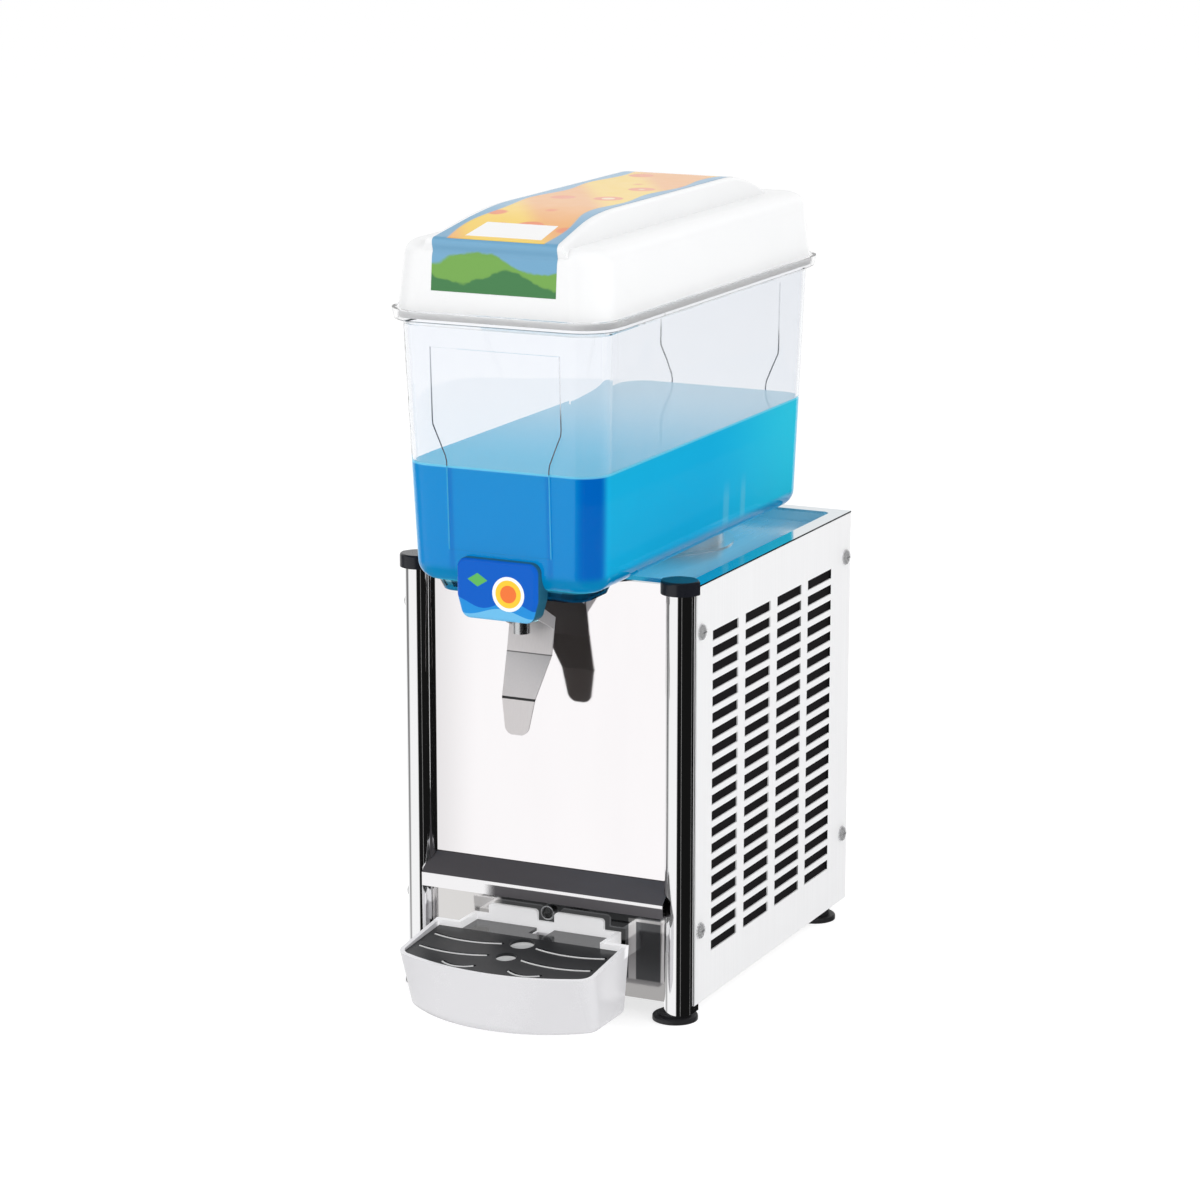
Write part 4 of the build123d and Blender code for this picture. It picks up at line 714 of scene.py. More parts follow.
@dataclass(frozen=True)
class PrintedCover(Finish):
    """Blue moulded shield with a printed badge of plain rings and waves."""

    side: Colour = (0.02, 0.12, 0.19)
    leaf: Colour = (0.12, 0.48, 0.12)
    middle: Span = (0.010, 0.350)
    leaf_place: Span = (-0.026, 0.009)
    discs: tuple[tuple[float, Colour], ...] = (
        (0.0135, (0.93, 0.95, 0.97)), (0.0108, (0.98, 0.62, 0.05)), (0.0068, (0.90, 0.20, 0.05)),
    )
    waves: tuple[tuple[float, float, float, float, Colour], ...] = (
        (0.341, 130.0, 0.0, 0.0035, (0.02, 0.28, 0.72)),
        (0.335, 110.0, 1.2, 0.003, (0.16, 0.52, 0.84)),
    )

    def shade(self, graph: Graph) -> None:
        """A pale ring with a warm disc and a small leaf, over two paler waves."""
        x, _, z = graph.spot()
        grain = graph.noise(1200.0, 2.0)
        across = x - self.middle[0]
        up = z - self.middle[1]
        radius = (across * across + up * up).root()
        face = self.colour
        for foot, pace, start, height, colour in self.waves:
            crest = z - foot - (x * pace + start).sine() * height
            face = graph.mix(crest < 0.0, face, colour)
        for reach, colour in self.discs:
            face = graph.mix(radius < reach, face, colour)
        leaf = abs(across - self.leaf_place[0]) + abs(up - self.leaf_place[1]) * 1.6
        face = graph.mix(leaf < 0.0085, face, self.leaf)
        _, ahead, _ = graph.facing()
        face = graph.mix(ahead.ramp(-0.55, -0.25), face, self.side)
        graph.surface({
            "Base Color": face,
            "Roughness": self.roughness + grain.swing(0.06),
            "Specular IOR Level": 0.1,
            "Coat Weight": 0.04,
            "Coat Roughness": 0.06,
            "Normal": graph.bump(grain, 0.04, 0.0003),
        })


@dataclass(frozen=True)
class PrintedStrip(Finish):
    """Printed strip on the lid: bands, waves and discs in fresh colours round a blank white field."""

    sky: Colour = (0.16, 0.38, 0.58)
    warm: Colour = (0.86, 0.40, 0.10)
    yellow: Colour = (0.92, 0.62, 0.06)
    green: Colour = (0.035, 0.19, 0.05)
    lime: Colour = (0.16, 0.38, 0.06)
    disc: Colour = (0.84, 0.24, 0.08)
    disc_heart: Colour = (0.92, 0.72, 0.46)
    white: Colour = (0.92, 0.92, 0.92)
    fold: float = 0.041
    hill_foot: float = 0.012
    crest_foot: float = 0.024
    hill_soft: float = 0.0012
    field_middle: float = 0.05
    field_half: float = 0.62
    field_ends: Span = (0.008, 0.042)

    def shade(self, graph: Graph) -> None:
        """Waves at the front, a blank field on the slope, and soft discs along the top."""
        chart = graph.node("ShaderNodeUVMap", {"uv_map": "strip"})
        across, along, _ = graph.axes(chart)
        drift = graph.noise(3.0, 3.0, graph.stretch((1.0, 20.0, 1.0), chart))
        spots = graph.node("ShaderNodeTexVoronoi", feeds={
            "Vector": graph.stretch((1.3, 28.0, 1.0), chart),
            "Scale": 1.0,
            "Randomness": 0.7,
        })
        hill = along - self.hill_foot - (across * 4.0 + 0.6).sine() * 0.006 - drift.swing(0.012)
        crest = along - self.crest_foot - (across * 3.1 + 2.4).sine() * 0.007 - drift.swing(0.01)
        front = graph.mix(crest.edge(0.0, self.hill_soft), self.lime, self.sky)
        front = graph.mix(hill.edge(0.0, self.hill_soft), self.green, front)
        front = graph.mix(spots.ramp(0.24, 0.20) * (across > -0.2), front, self.yellow)
        top = graph.mix((across * 2.2 + along * 30.0).sine().ramp(-0.5, 0.6), self.warm, self.yellow)
        top = graph.mix(spots.ramp(0.36, 0.30), top, self.disc)
        top = graph.mix(spots.ramp(0.17, 0.13), top, self.disc_heart)
        top = graph.mix((abs(across) + (along * 60.0).sine() * 0.06).ramp(0.80, 0.84), top, self.sky)
        face = graph.mix(along > self.fold, front, top)
        start, end = self.field_ends
        blank = (along > self.fold + start) * (along < self.fold + end)
        blank = blank * (abs(across - self.field_middle) < self.field_half)
        face = graph.mix(blank, face, self.white)
        graph.surface({
            "Base Color": face,
            "Roughness": self.roughness + drift.swing(0.1),
            "Coat Weight": 0.3,
            "Coat Roughness": 0.1,
        })


class Look(Enum):
    """The finishes of this machine."""

    LOUVRED_SHEET = PanelSteel("satin_steel_sheet", (0.93, 0.93, 0.94), 0.42, Grain.UPRIGHT, 0.15, 0.03)
    POLISHED_FRONT = FrontSteel("mirror_steel_front", (0.97, 0.945, 0.955), 0.05)
    POLISHED_KICK = KickSteel("mirror_steel_kick", (0.70, 0.685, 0.675), 0.07)
    POLISHED_POST = MirrorSteel("mirror_steel_post", (0.90, 0.90, 0.905), 0.06, 0.01)
    POLISHED_LEDGE = LedgeSteel("ledge_steel", (0.90, 0.89, 0.90), 0.08)
    # Painted reflection: the deck's blue tint stands for the drink mirrored in it, on top of its real
    # reflection.
    DECK = DeckSteel("brushed_deck_sheet", (0.70, 0.87, 0.93), 0.22, Grain.ALONG_DEPTH, 0.62, 0.02)
    CUP = BrushedSteel("brushed_cup_sheet", (0.80, 0.84, 0.86), 0.22, Grain.ALONG_DEPTH, 0.62, 0.02)
    LEVER = LeverSteel("satin_lever_sheet", (0.65, 0.62, 0.62), 0.42, Grain.UPRIGHT, 0.35, 0.03)
    BRACKET = BrushedSteel("bracket_steel", (0.74, 0.74, 0.75), 0.30, Grain.ACROSS)
    TURNED = BrushedSteel("turned_steel", (0.62, 0.63, 0.64), 0.28, Grain.TURNED)
    ZINC = BrushedSteel("zinc_plated_sheet", (0.58, 0.59, 0.60), 0.42, Grain.TURNED)
    SCREW = BrushedSteel("domed_screw_heads", (0.70, 0.70, 0.71), 0.26, Grain.TURNED, 0.6)
    SPRING = BrushedSteel("spring_wire", (0.55, 0.55, 0.56), 0.25, Grain.TURNED)
    FINS = BrushedSteel("blackened_fins", (0.04, 0.041, 0.043), 0.5, Grain.UPRIGHT)
    BLACK = MouldedPlastic("glossy_black_plastic", (0.010, 0.011, 0.016), 0.28, 0.05, 0.12, 0.06, 0.3)
    LID = MouldedPlastic("white_lid_plastic", (0.90, 0.905, 0.91), 0.30, 0.03, 0.15, 0.012)
    TRAY = PaintedLightPlastic("white_tray_plastic", (0.73, 0.725, 0.745), 0.26, 0.03, 0.25, 0.012)
    GRILLE = MouldedPlastic("grey_grille_plastic", (0.026, 0.027, 0.029), 0.30, 0.03, 0.03, 0.06, 0.25)
    DARK_PLATE = MouldedPlastic("dark_heel_plate", (0.026, 0.027, 0.029), 0.14, 0.02, 0.2, 0.06, 0.5)
    # Painted highlight: the light grey of the slot lips; the dishes under the holes share it.
    LIP = MouldedPlastic("bright_grille_lip", (0.70, 0.70, 0.70), 0.18, 0.03, 0.4)
    PADDLE = MouldedPlastic("white_paddle_plastic", (0.85, 0.86, 0.87), 0.40, 0.05, 0.1)
    HOSE = MouldedPlastic("pale_drain_hose", (0.72, 0.73, 0.72), 0.45, 0.05, 0.1)
    SCREEN = WovenScreen("dark_dust_screen", (0.016, 0.0145, 0.0165), 0.7)
    FAN = MouldedPlastic("black_fan_plastic", (0.03, 0.03, 0.033), 0.45, 0.08, 0.1)
    GREEN_ROCKER = MouldedPlastic("green_rocker", (0.05, 0.36, 0.10), 0.25, 0.03, 0.4)
    RED_ROCKER = MouldedPlastic("red_rocker", (0.50, 0.03, 0.03), 0.25, 0.03, 0.4)
    FOOT = Rubber("black_foot_rubber", (0.018, 0.018, 0.02), 0.5)
    SEAL = Rubber("pale_seal_rubber", (0.72, 0.73, 0.72), 0.6)
    TANK = TubPlastic("clear_tank_plastic", (0.935, 0.95, 0.975), 0.015, bend=1.3, mirror=0.12)
    PAD_LINE = PadLine("moulded_pad_line", (0.10, 0.12, 0.15), 0.3)
    VALVE = ClearPlastic("tinted_valve_plastic", (0.42, 0.80, 0.88), 0.08)
    DRINK = Drink("blue_drink", (0.002, 0.29, 0.69), 0.06)
    COPPER = DrawnCopper("drawn_copper", (0.78, 0.42, 0.26), 0.25)
    MOTOR = PaintedShell("dark_motor_paint", (0.10, 0.105, 0.11), 0.42)
    COMPRESSOR = PaintedShell("black_compressor_paint", (0.02, 0.02, 0.022), 0.32)
    MAGNET = PaintedShell("dark_magnet", (0.10, 0.10, 0.105), 0.5)
    FOAM = Foam("yellow_foam", (0.80, 0.70, 0.45), 0.8)
    COVER = PrintedCover("printed_blue_cover", (0.003, 0.115, 0.57), 0.30)
    STRIP = PrintedStrip("printed_lid_strip", (0.9, 0.9, 0.9), 0.32)

    @cache
    def material(self) -> bpy.types.Material:
        """The material of this finish, made once."""
        return self.value.material()


Finishes = dict[Look, tuple[str, ...]]


def add_object(name: str, data: bpy.types.ID) -> bpy.types.Object:
    """Put a mesh, lamp or camera in the scene as an object."""
    made = bpy.data.objects.new(name, data)
    bpy.context.scene.collection.objects.link(made)
    return made


def shares(count: int) -> list[float]:
    """Even steps from zero to one."""
    return [step / count for step in range(count + 1)]


def circle(count: int) -> list[float]:
    """Even angles round a circle."""
    return [math.tau * step / count for step in range(count)]


class MeshMaker:
    """Builds one mesh piece from rings of points, and puts it on a body."""

    def __init__(self, name: str) -> None:
        """Start an empty mesh."""
        self.name = name
        self.mesh = bmesh.new()

    def ring(self, points: Iterable[Sequence[float]]) -> Ring:
        """Add one ring of points."""
        return [self.mesh.verts.new(point) for point in points]

    def join(self, rings: Sequence[Ring], closed: bool = True) -> None:
        """Bridge neighbouring rings of equal count with four-sided faces.

        Args:
            rings: the rings in order.
            closed: whether each ring's end meets its start.
        """
        for low, high in zip(rings, rings[1:]):
            count = len(low)
            for i in range(count if closed else count - 1):
                j = (i + 1) % count
                self.mesh.faces.new((low[i], low[j], high[j], high[i]))

    def solid(self, rings: Sequence[Ring]) -> None:
        """Bridge rings, and close the first and the last with one face each."""
        self.join(rings)
        for ring in (rings[0], rings[-1]):
            self.mesh.faces.new(ring)

    def bead(self, path: Sequence[Point], radius: float, sides: int = 8) -> None:
        """Lay a round bead along a path.

        Args:
            path: the points that its middle follows.
            radius: its radius.
            sides: points round it.
        """
        places = [Vector(point) for point in path]
        rings = []
        for i, place in enumerate(places):
            way = (places[min(i + 1, len(places) - 1)] - places[max(i - 1, 0)]).normalized()
            first = way.orthogonal() if i == 0 else first - way * first.dot(way)
            first = first.normalized()
            second = way.cross(first)
            rings.append(self.ring(
                place + radius * (first * math.cos(turn) + second * math.sin(turn))
                for turn in circle(sides)
            ))
        self.solid(rings)

    def piece(self, body: str, look: Look, smooth: float = 35.0) -> bpy.types.Object:
        """Finish the mesh as a piece.

        Args:
            body: the CAD body that it rides on.
            look: its finish.
            smooth: edges sharper than this angle in degrees stay sharp.

        Returns:
            The new object.
        """
        bmesh.ops.recalc_face_normals(self.mesh, faces=self.mesh.faces)
        data = bpy.data.meshes.new(self.name)
        self.mesh.to_mesh(data)
        self.mesh.free()
        data.shade_smooth()
        data.set_sharp_from_angle(angle=math.radians(smooth))
        data.materials.append(look.material())
        made = add_object(self.name, data)
        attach(made, body)
        log.info("piece %s on %s", self.name, body)
        return made


def rounded_rectangle(width: float, depth: float, corner: float, middle_y: float, height: float,
                      steps: int = 10) -> list[Point]:
    """Points round a rectangle with round corners, in a level plane.

    Args:
        width: its size along X.
        depth: its size along Y.
        corner: the corners' radius.
        middle_y: its middle along Y.
        height: the plane's height.
        steps: points along each corner.

    Returns:
        The points, counter-clockwise from above.
    """
    points = []
    for quarter, (sign_x, sign_y) in enumerate(((1, 1), (-1, 1), (-1, -1), (1, -1))):
        for step in range(steps + 1):
            angle = math.radians(90.0 * (quarter + step / steps))
            points.append((
                sign_x * (width / 2 - corner) + corner * math.cos(angle),
                middle_y + sign_y * (depth / 2 - corner) + corner * math.sin(angle),
                height,
            ))
    return points


class Assembly:
    """One sub-assembly: the finishes of its CAD nodes, and the pieces that are modelled here."""

    looks: ClassVar[Finishes] = {}

    def dress(self) -> None:
        """Give the CAD nodes their finishes."""
        for look, names in self.looks.items():
            for name in names:
                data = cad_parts[name].data
                data.materials.clear()
                data.materials.append(look.material())
                log.info("finish %s on %s", look.value.name, name)

    def build(self) -> None:
        """Add the pieces; an assembly that is all CAD has none."""


@dataclass
class Cabinet(Assembly):
    """The louvred cooling cabinet with its posts, front and deck."""

    looks: ClassVar[Finishes] = {
        Look.LOUVRED_SHEET: ("left_side_panel", "right_side_panel", "back_panel"),
        Look.POLISHED_POST: ("left_corner_post", "right_corner_post"),
        Look.POLISHED_FRONT: ("front_panel",),
        Look.POLISHED_KICK: ("lower_front_panel",),
        Look.POLISHED_LEDGE: ("front_ledge",),
        Look.DECK: ("top_deck",),
        Look.BLACK: ("post_caps",),
        Look.FOOT: ("feet",),
        Look.ZINC: ("base_pan",),
        Look.BRACKET: ("tray_bracket",),
        Look.TURNED: ("drain_spout",),
        Look.HOSE: ("drain_tube",),
        Look.SCREW: ("panel_screws",),
    }

    half_width: float = 0.1265
    screw_radius: float = 0.0065
    screw_height: float = 0.0032
    screw_rows: Span = (0.072, 0.3118)
    screw_columns: Span = (-0.1005, 0.1945)
    dome: tuple[Span, ...] = (
        (0.98, 0.0), (1.0, 0.25), (0.93, 0.62), (0.76, 0.88), (0.58, 0.97),
    )
    slot_width: float = 0.0013
    slot_reach: float = 0.0034
    slot_levels: Span = (0.99, 0.45)
    screen_inset: float = 0.0016
    screen_thickness: float = 0.0006
    screen_ends: Span = (0.170, -0.085)
    screen_heights: Span = (0.043, 0.314)

    def cross(self) -> list[Span]:
        """Points round the cross recess of a screw, with one between each two corners."""
        half, reach = self.slot_width / 2, self.slot_reach
        arm = [(reach, -half), (reach, half), (half, half)]
        corners = []
        for _ in range(4):
            corners += arm
            arm = [(-v, u) for u, v in arm]
        points = []
        for first, second in zip(corners, corners[1:] + corners[:1]):
            points += [first, ((first[0] + second[0]) / 2, (first[1] + second[1]) / 2)]
        return points

    def build(self) -> None:
        """Add the screw heads and the dust screens."""
        self.screw_heads()
        self.dust_screens()

    def screw_heads(self) -> None:
        """Model the domed screw heads with cross recesses in place of their CAD discs."""
        maker = MeshMaker("cross_screws")
        recess = self.cross()
        angles = [math.atan2(v, u) for u, v in recess]
        for side, y, z in product((-1, 1), self.screw_columns, self.screw_rows):
            rings = []
            for share, rise in self.dome:
                x = side * (self.half_width + rise * self.screw_height)
                reach = share * self.screw_radius
                rings.append(maker.ring(
                    (x, y + reach * math.cos(angle), z + reach * math.sin(angle)) for angle in angles
                ))
            for rise in self.slot_levels:
                x = side * (self.half_width + rise * self.screw_height)
                rings.append(maker.ring((x, y + u, z + v) for u, v in recess))
            maker.solid(rings)
        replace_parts(maker.piece("cabinet", Look.SCREW), "panel_screws")

    def dust_screens(self) -> None:
        """Lay the dark woven screens that keep dust out behind the louvres."""
        maker = MeshMaker("dust_screens")
        (back, front), (low, high) = self.screen_ends, self.screen_heights
        corners = ((front, low), (back, low), (back, high), (front, high))
        outer = self.half_width - self.screen_inset
        for side in (-1, 1):
            maker.solid([
                maker.ring((side * x, y, z) for y, z in corners)
                for x in (outer, outer - self.screen_thickness)
            ])
        maker.piece("cabinet", Look.SCREEN)


class CoolingUnit(Assembly):
    """The cooling circuit, stirrer and fan inside the cabinet."""

    looks: ClassVar[Finishes] = {
        Look.CUP: ("evaporator_cup",),
        Look.COPPER: (
            "evaporator_coil", "filter_drier", "suction_pipe", "discharge_pipe", "liquid_pipe",
            "capillary_pipe",
        ),
        Look.FOAM: ("insulation_slab",),
        Look.ZINC: ("motor_mount_plate", "fan_bracket"),
        Look.MOTOR: ("stir_motor", "fan_shroud", "fan_motor"),
        Look.TURNED: ("drive_shaft",),
        Look.MAGNET: ("drive_magnet",),
        Look.PADDLE: ("mixing_paddle",),
        Look.COMPRESSOR: ("compressor",),
        Look.FOOT: ("compressor_mounts",),
        Look.FINS: ("condenser",),
        Look.FAN: ("condenser_fan",),
    }


class Controls(Assembly):
    """Switches, thermostat and cord gland on the back."""

    looks: ClassVar[Finishes] = {
        Look.BLACK: ("switch_bezels", "thermostat_knob", "cord_gland"),
        Look.GREEN_ROCKER: ("cooling_rocker",),
        Look.RED_ROCKER: ("stirring_rocker",),
        Look.MOTOR: ("thermostat",),
    }


@dataclass
class Tank(Assembly):
    """The clear tank with its drink and seal."""

    looks: ClassVar[Finishes] = {Look.TANK: ("tank",), Look.SEAL: ("tank_seal",)}

    floor_z: float = 0.354
    level: float = 0.444
    neck_z: float = 0.550
    base_z: float = 0.351
    floor_size: Span = (0.160, 0.400)
    neck_size: Span = (0.173, 0.416)
    floor_y: float = 0.0105
    neck_y: float = 0.0090
    wall: float = 0.003
    corner: float = 0.024
    least_corner: float = 0.006
    round_floor: float = 0.012
    round_steps: int = 6
    level_edge: Span = (0.0008, 0.0003)
    evaporator_y: float = 0.0725
    well_radius: float = 0.0456
    well_round: float = 0.004
    well_top: float = 0.4282
    seal_radius: float = 0.0543
    seal_top: float = 0.3563
    filled: float = 0.0022
    floor_step: float = 0.003
    pad_bead: float = 0.0005
    pad_proud: float = 0.0009
    pad_outline: tuple[Span, ...] = (
        (0.0540, 0.184), (0.0540, 0.155), (0.0540, 0.128), (0.0536, 0.124), (0.0485, 0.112),
        (0.0438, 0.1005), (0.0430, 0.096), (0.0430, 0.062), (0.0430, 0.028),
    )

    def section(self, height: float, inset: float) -> list[Point]:
        """The drink's outline at one height, drawn in by inset from the tank's inner wall."""
        share = (height - self.base_z) / (self.neck_z - self.base_z)
        width = self.floor_size[0] + share * (self.neck_size[0] - self.floor_size[0])
        depth = self.floor_size[1] + share * (self.neck_size[1] - self.floor_size[1])
        middle = self.floor_y + share * (self.neck_y - self.floor_y)
        edge = 2 * (self.wall + inset)
        corner = max(self.corner - self.wall - inset, self.least_corner)
        return rounded_rectangle(width - edge, depth - edge, corner, middle, height)

    def well(self, outline: Sequence[Point], radius: float, height: float) -> list[Point]:
        """A ring round the evaporator whose points face those of an outline."""
        middle = self.evaporator_y
        angles = (math.atan2(y - middle, x) for x, y, _ in outline)
        return [(radius * math.cos(turn), middle + radius * math.sin(turn), height) for turn in angles]

    def build(self) -> None:
        """Add the drink and the moulded lines."""
        self.drink()
        self.pad_lines()

    def drink(self) -> None:
        """Model the drink in place of its CAD solid, hollow round the evaporator and the paddle.

        The wall bends light so that the drink seems to fill most of it, and it is drawn that far out.
        """
        maker = MeshMaker("drink")
        skin, soft = -self.filled, self.well_round
        floor, bend = self.floor_z - self.filled, self.round_floor + self.filled
        outline = self.section(floor, bend)
        well = (
            (soft, self.well_top), (self.well_radius - soft, self.well_top),
            (self.well_radius, self.well_top - soft), (self.well_radius, self.seal_top),
            (self.seal_radius, self.seal_top), (self.seal_radius, self.floor_z),
        )
        rings = [maker.ring(self.well(outline, radius, height)) for radius, height in well]
        rings.append(maker.ring(self.section(self.floor_z, bend + self.floor_step)))
        for share in shares(self.round_steps):
            angle = math.radians(90.0 * share)
            inset = bend * (1 - math.sin(angle)) + skin
            rings.append(maker.ring(self.section(floor + bend * (1 - math.cos(angle)), inset)))
        drop, inset = self.level_edge
        rings.append(maker.ring(self.section(self.level - drop, skin)))
        rings.append(maker.ring(self.section(self.level, skin + inset)))
        maker.solid(rings)
        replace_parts(maker.piece("tank", Look.DRINK), "juice")

    def pad_lines(self) -> None:
        """Lay the moulded edges of the raised fields on the tank's front and back walls."""
        maker = MeshMaker("pad_lines")
        rise = self.neck_z - self.base_z
        for end in (-1, 1):
            floor_y = self.floor_y + end * self.floor_size[1] / 2
            lean = (self.neck_y + end * self.neck_size[1] / 2 - floor_y) / rise
            for side in (-1, 1):
                maker.bead([
                    (side * half, floor_y + lean * height + end * self.pad_proud, self.base_z + height)
                    for half, height in self.pad_outline
                ], self.pad_bead)
        maker.piece("tank", Look.PAD_LINE)


@dataclass
class Tap(Assembly):
    """Valve, cover, nozzle and push lever under the tank's front."""

    looks: ClassVar[Finishes] = {
        Look.VALVE: ("tap_body",),
        Look.TURNED: ("tap_nozzle", "lever_shaft"),
        Look.COVER: ("tap_cover",),
        Look.LEVER: ("push_lever",),
        Look.PADDLE: ("valve_plunger",),
        Look.SEAL: ("valve_seal",),
    }

    spring_wire: float = 0.0005
    spring_turns: int = 3
    spring_steps: int = 24
    spring_kept: float = 0.545

    def build(self) -> None:
        """Model the return spring in place of its CAD solid, with a mesh of its own."""
        low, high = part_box("return_spring")
        middle_y = (low[1] + high[1]) / 2
        radius = (high[0] - low[0]) / 2 - self.spring_wire
        rise = high[2] - low[2] - 2 * self.spring_wire
        path = []
        for share in shares(self.spring_turns * self.spring_steps):
            turn = math.tau * self.spring_turns * share
            height = low[2] + self.spring_wire + rise * share
            path.append((radius * math.cos(turn), middle_y + radius * math.sin(turn), height))
        maker = MeshMaker("closing_spring")
        maker.bead(path, self.spring_wire)
        spring = maker.piece("tank", Look.SPRING)
        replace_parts(spring, "return_spring")
        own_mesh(spring)


@dataclass
class Lid(Assembly):
    """The white lid with its printed strip."""

    looks: ClassVar[Finishes] = {Look.LID: ("lid",)}

    strip_half: float = 0.052
    strip_top_half: float = 0.0455
    strip_low: float = 0.578
    front_y: float = -0.1995
    back_y: float = 0.190
    turn: float = 0.012
    fold_z: float = 0.617
    narrowing: float = 0.013
    lift: float = 0.00012
    far: float = 0.09
    across: int = 16
    front_rows: int = 10
    fold_degrees: int = 6
    top_rows: int = 60

    def rays(self) -> list[tuple[Point, Point]]:
        """Places outside the lid along the strip's middle, each with the way to the lid."""
        y, z, far = self.front_y + self.turn, self.fold_z - self.turn, self.far
        rays = []
        for share in shares(self.front_rows):
            rays.append(((0.0, y - far, self.strip_low + share * (z - self.strip_low)), (0.0, 1.0, 0.0)))
        for degree in range(self.fold_degrees, 90, self.fold_degrees):
            ahead, up = math.cos(math.radians(degree)), math.sin(math.radians(degree))
            rays.append(((0.0, y - far * ahead, z + far * up), (0.0, ahead, -up)))
        for share in shares(self.top_rows):
            rays.append(((0.0, y + share * (self.back_y - y), z + far), (0.0, 0.0, -1.0)))
        return rays

    def build(self) -> None:
        """Lay the printed strip over the lid's front and ridge."""
        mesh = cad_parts["lid"].data
        tree = BVHTree.FromPolygons([v.co for v in mesh.vertices], [p.vertices for p in mesh.polygons])
        maker = MeshMaker("lid_strip")
        rows, lengths = [], []
        for start, way in self.rays():
            hit = tree.ray_cast(Vector(start), Vector(way))[0]
            share = min(max((hit.z - self.fold_z) / self.narrowing, 0.0), 1.0)
            half = self.strip_half + share * (self.strip_top_half - self.strip_half)
            row = []
            for i in range(self.across + 1):
                x = half * (2.0 * i / self.across - 1.0)
                place, normal = tree.ray_cast(Vector((x, start[1], start[2])), Vector(way))[:2]
                row.append(place + normal * self.lift)
            step = (row[0] - rows[-1][0]).length if rows else 0.0
            lengths.append((lengths[-1] if lengths else 0.0) + step)
            rows.append(row)
        rings = [maker.ring(row) for row in rows]
        maker.join(rings, closed=False)
        chart = maker.mesh.loops.layers.uv.new("strip")
        spots = {}
        for ring, along in zip(rings, lengths):
            for i, vert in enumerate(ring):
                spots[vert] = (2.0 * i / self.across - 1.0, along)
        for face in maker.mesh.faces:
            for loop in face.loops:
                loop[chart].uv = spots[loop.vert]
        maker.piece("lid", Look.STRIP)


@dataclass
class Tray(Assembly):
    """The white drip tray and its grey grille."""

    looks: ClassVar[Finishes] = {Look.TRAY: ("drip_tray",), Look.GRILLE: ("drip_grille",)}

    grille_back: float = -0.140
    grille_top: float = 0.0612
    grille_fall: float = 0.0737
    slot_start: float = 0.015
    slot_bow: float = 0.005
    slot_half: float = 0.0015
    slot_steps: int = 12
    slots: tuple[Span, ...] = ((0.021, 0.074), (0.047, 0.074), (0.070, 0.042))
    lip: float = 0.0008
    holes: tuple[Span, ...] = ((0.017, 0.010), (0.0455, 0.0085))
    hole_sides: int = 32
    dish_drain: float = 0.002
    plate_half: float = 0.0605
    plate_notch: float = 0.0078
    plate_ends: tuple[float, float, float] = (-0.1438, -0.1310, -0.1158)
    plate_heights: Span = (0.05775, 0.0602)

    @property
    def tilt(self) -> float:
        """The grille's fall as an angle."""
        return math.atan(self.grille_fall)

    def build(self) -> None:
        """Add the grille's lips and dishes, and the dark plate in the heel."""
        maker = MeshMaker("grille_lips")
        for (setback, end), side in product(self.slots, (-1, 1)):
            self.slot_lip(maker, setback, side * self.slot_start, side * end)
        for setback, radius in self.holes:
            self.dish(maker, setback, radius)
        maker.piece("drip_grille", Look.LIP)
        self.heel_dark_plate()

    def slot_lip(self, maker: MeshMaker, setback: float, start: float, end: float) -> None:
        """Lay a bright lip along the front edge of one slot, light grey as a painted highlight.

        Args:
            maker: the mesh that takes it.
            setback: how far the slot's ends lie in front of the grille's back.
            start: the slot's inner end along X.
            end: the slot's outer end along X.
        """
        path = []
        for share in shares(self.slot_steps):
            bow = self.slot_bow * (1.0 - (2.0 * share - 1.0) ** 2)
            reach = setback + bow + self.slot_half + 0.5 * self.lip
            path.append((
                start + share * (end - start),
                self.grille_back - reach * math.cos(self.tilt),
                self.grille_top - reach * math.sin(self.tilt),
            ))
        maker.bead(path, self.lip)

    def dish(self, maker: MeshMaker, setback: float, radius: float) -> None:
        """Hang a pale dish under one round hole.

        Args:
            maker: the mesh that takes it.
            setback: how far the hole's middle lies in front of the grille's back.
            radius: the hole's radius.
        """
        profile = (
            (radius + self.lip, -0.0027), (radius, -0.0027), (radius - self.lip, -0.0042),
            (self.dish_drain, -0.0045), (self.dish_drain, -0.0051), (radius, -0.0048),
        )
        middle = self.grille_back - setback * math.cos(self.tilt)
        rings = []
        for reach, drop in profile:
            ring = []
            for turn in circle(self.hole_sides):
                along = reach * math.sin(turn)
                height = self.grille_top + drop - (setback - along) * math.sin(self.tilt)
                ring.append((reach * math.cos(turn), middle + along, height))
            rings.append(maker.ring(ring))
        maker.join(rings + rings[:1])

    def heel_dark_plate(self) -> None:
        """Lay a dark plate in the heel's pocket, notched round the drain spout."""
        front, notch, back = self.plate_ends
        half, gap = self.plate_half, self.plate_notch
        outline = (
            (-half, front), (half, front), (half, back), (gap, back),
            (gap, notch), (-gap, notch), (-gap, back), (-half, back),
        )
        maker = MeshMaker("heel_dark_plate")
        maker.solid([maker.ring((x, y, height) for x, y in outline) for height in self.plate_heights])
        maker.piece("drip_tray", Look.DARK_PLATE)


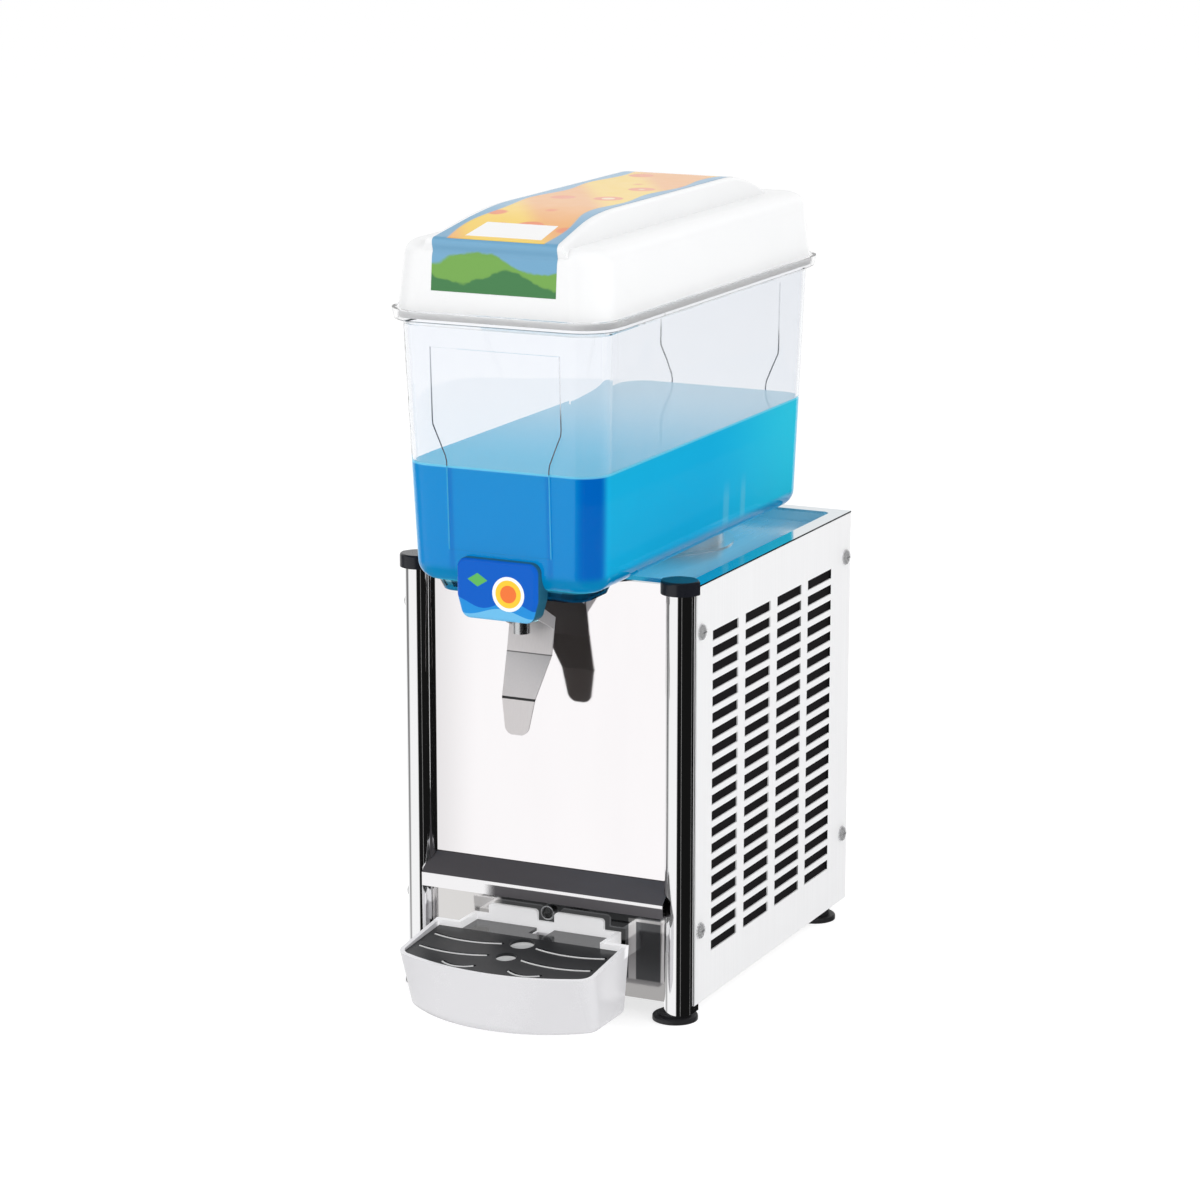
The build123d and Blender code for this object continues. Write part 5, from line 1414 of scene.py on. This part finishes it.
@dataclass
class Studio:
    """Pale floor, soft light and a camera at the photograph's viewing angle."""

    camera_place: Point = (1.302, -2.7535, 1.0116)
    right: Point = (0.9031, 0.4294, 0.0)
    upward: Point = (-0.0973, 0.2046, 0.9740)
    ahead: Point = (-0.4183, 0.8796, -0.2265)
    lens: float = 116.73
    sensor: float = 36.0
    clip_end: float = 100.0
    floor_size: float = 30.0
    floor_z: float = -0.0002
    lamps: tuple[tuple[str, Point, Point, float, float], ...] = (
        ("key", (-1.6, -2.2, 2.4), (0.0, 0.0, 0.3), 1.8, 29.5),
        ("top", (0.5, 0.2, 3.0), (0.0, 0.0, 0.3), 2.0, 11.5),
        ("side", (2.4, -0.3, 1.5), (0.0, 0.0, 0.25), 1.6, 23.5),
    )
    soft_light: float = 0.62

    def camera(self) -> None:
        """Set the camera."""
        data = bpy.data.cameras.new("camera")
        data.lens = self.lens
        data.sensor_width = self.sensor
        data.clip_end = self.clip_end
        made = add_object("camera", data)
        turn = Matrix((self.right, self.upward, tuple(-part for part in self.ahead))).transposed()
        made.matrix_world = Matrix.Translation(self.camera_place) @ turn.to_4x4()
        bpy.context.scene.camera = made

    def floor(self) -> None:
        """Lay the pale floor, which keeps a soft shadow."""
        mesh = bmesh.new()
        bmesh.ops.create_grid(mesh, x_segments=1, y_segments=1, size=self.floor_size)
        data = bpy.data.meshes.new("floor")
        mesh.to_mesh(data)
        mesh.free()
        look = bpy.data.materials.new("pale_floor")
        look.use_nodes = True
        Graph(look.node_tree).surface({
            "Base Color": (0.45, 0.45, 0.45),
            "Roughness": 0.9,
            "Specular IOR Level": 0.0,
            "Emission Color": (1.0, 1.0, 1.0),
            "Emission Strength": 0.72,
        })
        data.materials.append(look)
        made = add_object("floor", data)
        made.location.z = self.floor_z
        made.visible_glossy = False
        made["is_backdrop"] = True

    def lamp(self, name: str, place: Point, aim: Point, size: float, power: float) -> None:
        """Set one soft square lamp.

        Args:
            name: its name.
            place: where it is.
            aim: the point that it faces.
            size: its edge.
            power: its power in watts.
        """
        data = bpy.data.lights.new(name, "AREA")
        data.size = size
        data.energy = power
        made = add_object(name, data)
        made.location = place
        made.rotation_euler = (Vector(aim) - Vector(place)).to_track_quat("-Z", "Y").to_euler()
        made.visible_glossy = False
        made.visible_transmission = False

    def world(self) -> None:
        """White to the camera and through glass; to metal, white with dark sides, ceiling and ground."""
        made = bpy.data.worlds.new("studio")
        made.use_nodes = True
        bpy.context.scene.world = made
        graph = Graph(made.node_tree)
        x, y, z = graph.axes(graph.node("ShaderNodeTexCoord", output="Generated"))
        side = (x * 0.95 - y.smaller(0.0) * 0.31).ramp(0.22, 0.34)
        streak = abs(x * 0.95 - y * 0.31 - 0.72).ramp(0.025, 0.0)
        ceiling = z.ramp(0.30, 0.86)
        dark = (1.0 - side * (1.0 - streak * 0.35) * 0.992) * (1.0 - ceiling * 0.94)
        dark = dark * (1.0 - x.ramp(-0.90, -0.97) * 0.8) * (1.0 - z.ramp(-0.35, -0.65) * 0.85)
        glossy, camera, through = (
            graph.node("ShaderNodeLightPath", output=f"Is {kind} Ray")
            for kind in ("Glossy", "Camera", "Transmission")
        )
        plain = self.soft_light + (camera + through).ramp(0.0, 1.0) * (1.0 - self.soft_light)
        background = made.node_tree.nodes["Background"]
        graph.feed(background.inputs["Strength"], glossy * dark + (1.0 - glossy) * plain)
        graph.feed(background.inputs["Color"], (1.0, 1.0, 1.0))

    def build(self) -> None:
        """Set camera, floor, lamps and world."""
        self.camera()
        self.floor()
        for lamp in self.lamps:
            self.lamp(*lamp)
        self.world()
        bpy.context.scene.view_settings.view_transform = "Standard"


def main() -> None:
    """Build and dress the machine, then set the studio."""
    logging.basicConfig(level=logging.INFO, format="%(name)s: %(message)s")
    solid_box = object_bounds()
    for assembly in (Cabinet(), CoolingUnit(), Controls(), Tank(), Tap(), Lid(), Tray()):
        assembly.dress()
        assembly.build()
    Studio().build()
    boxes = {"cad": solid_box, "visual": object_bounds()}
    plain = {name: [[float(part) for part in corner] for corner in box] for name, box in boxes.items()}


if __name__ == "__main__":
    main()
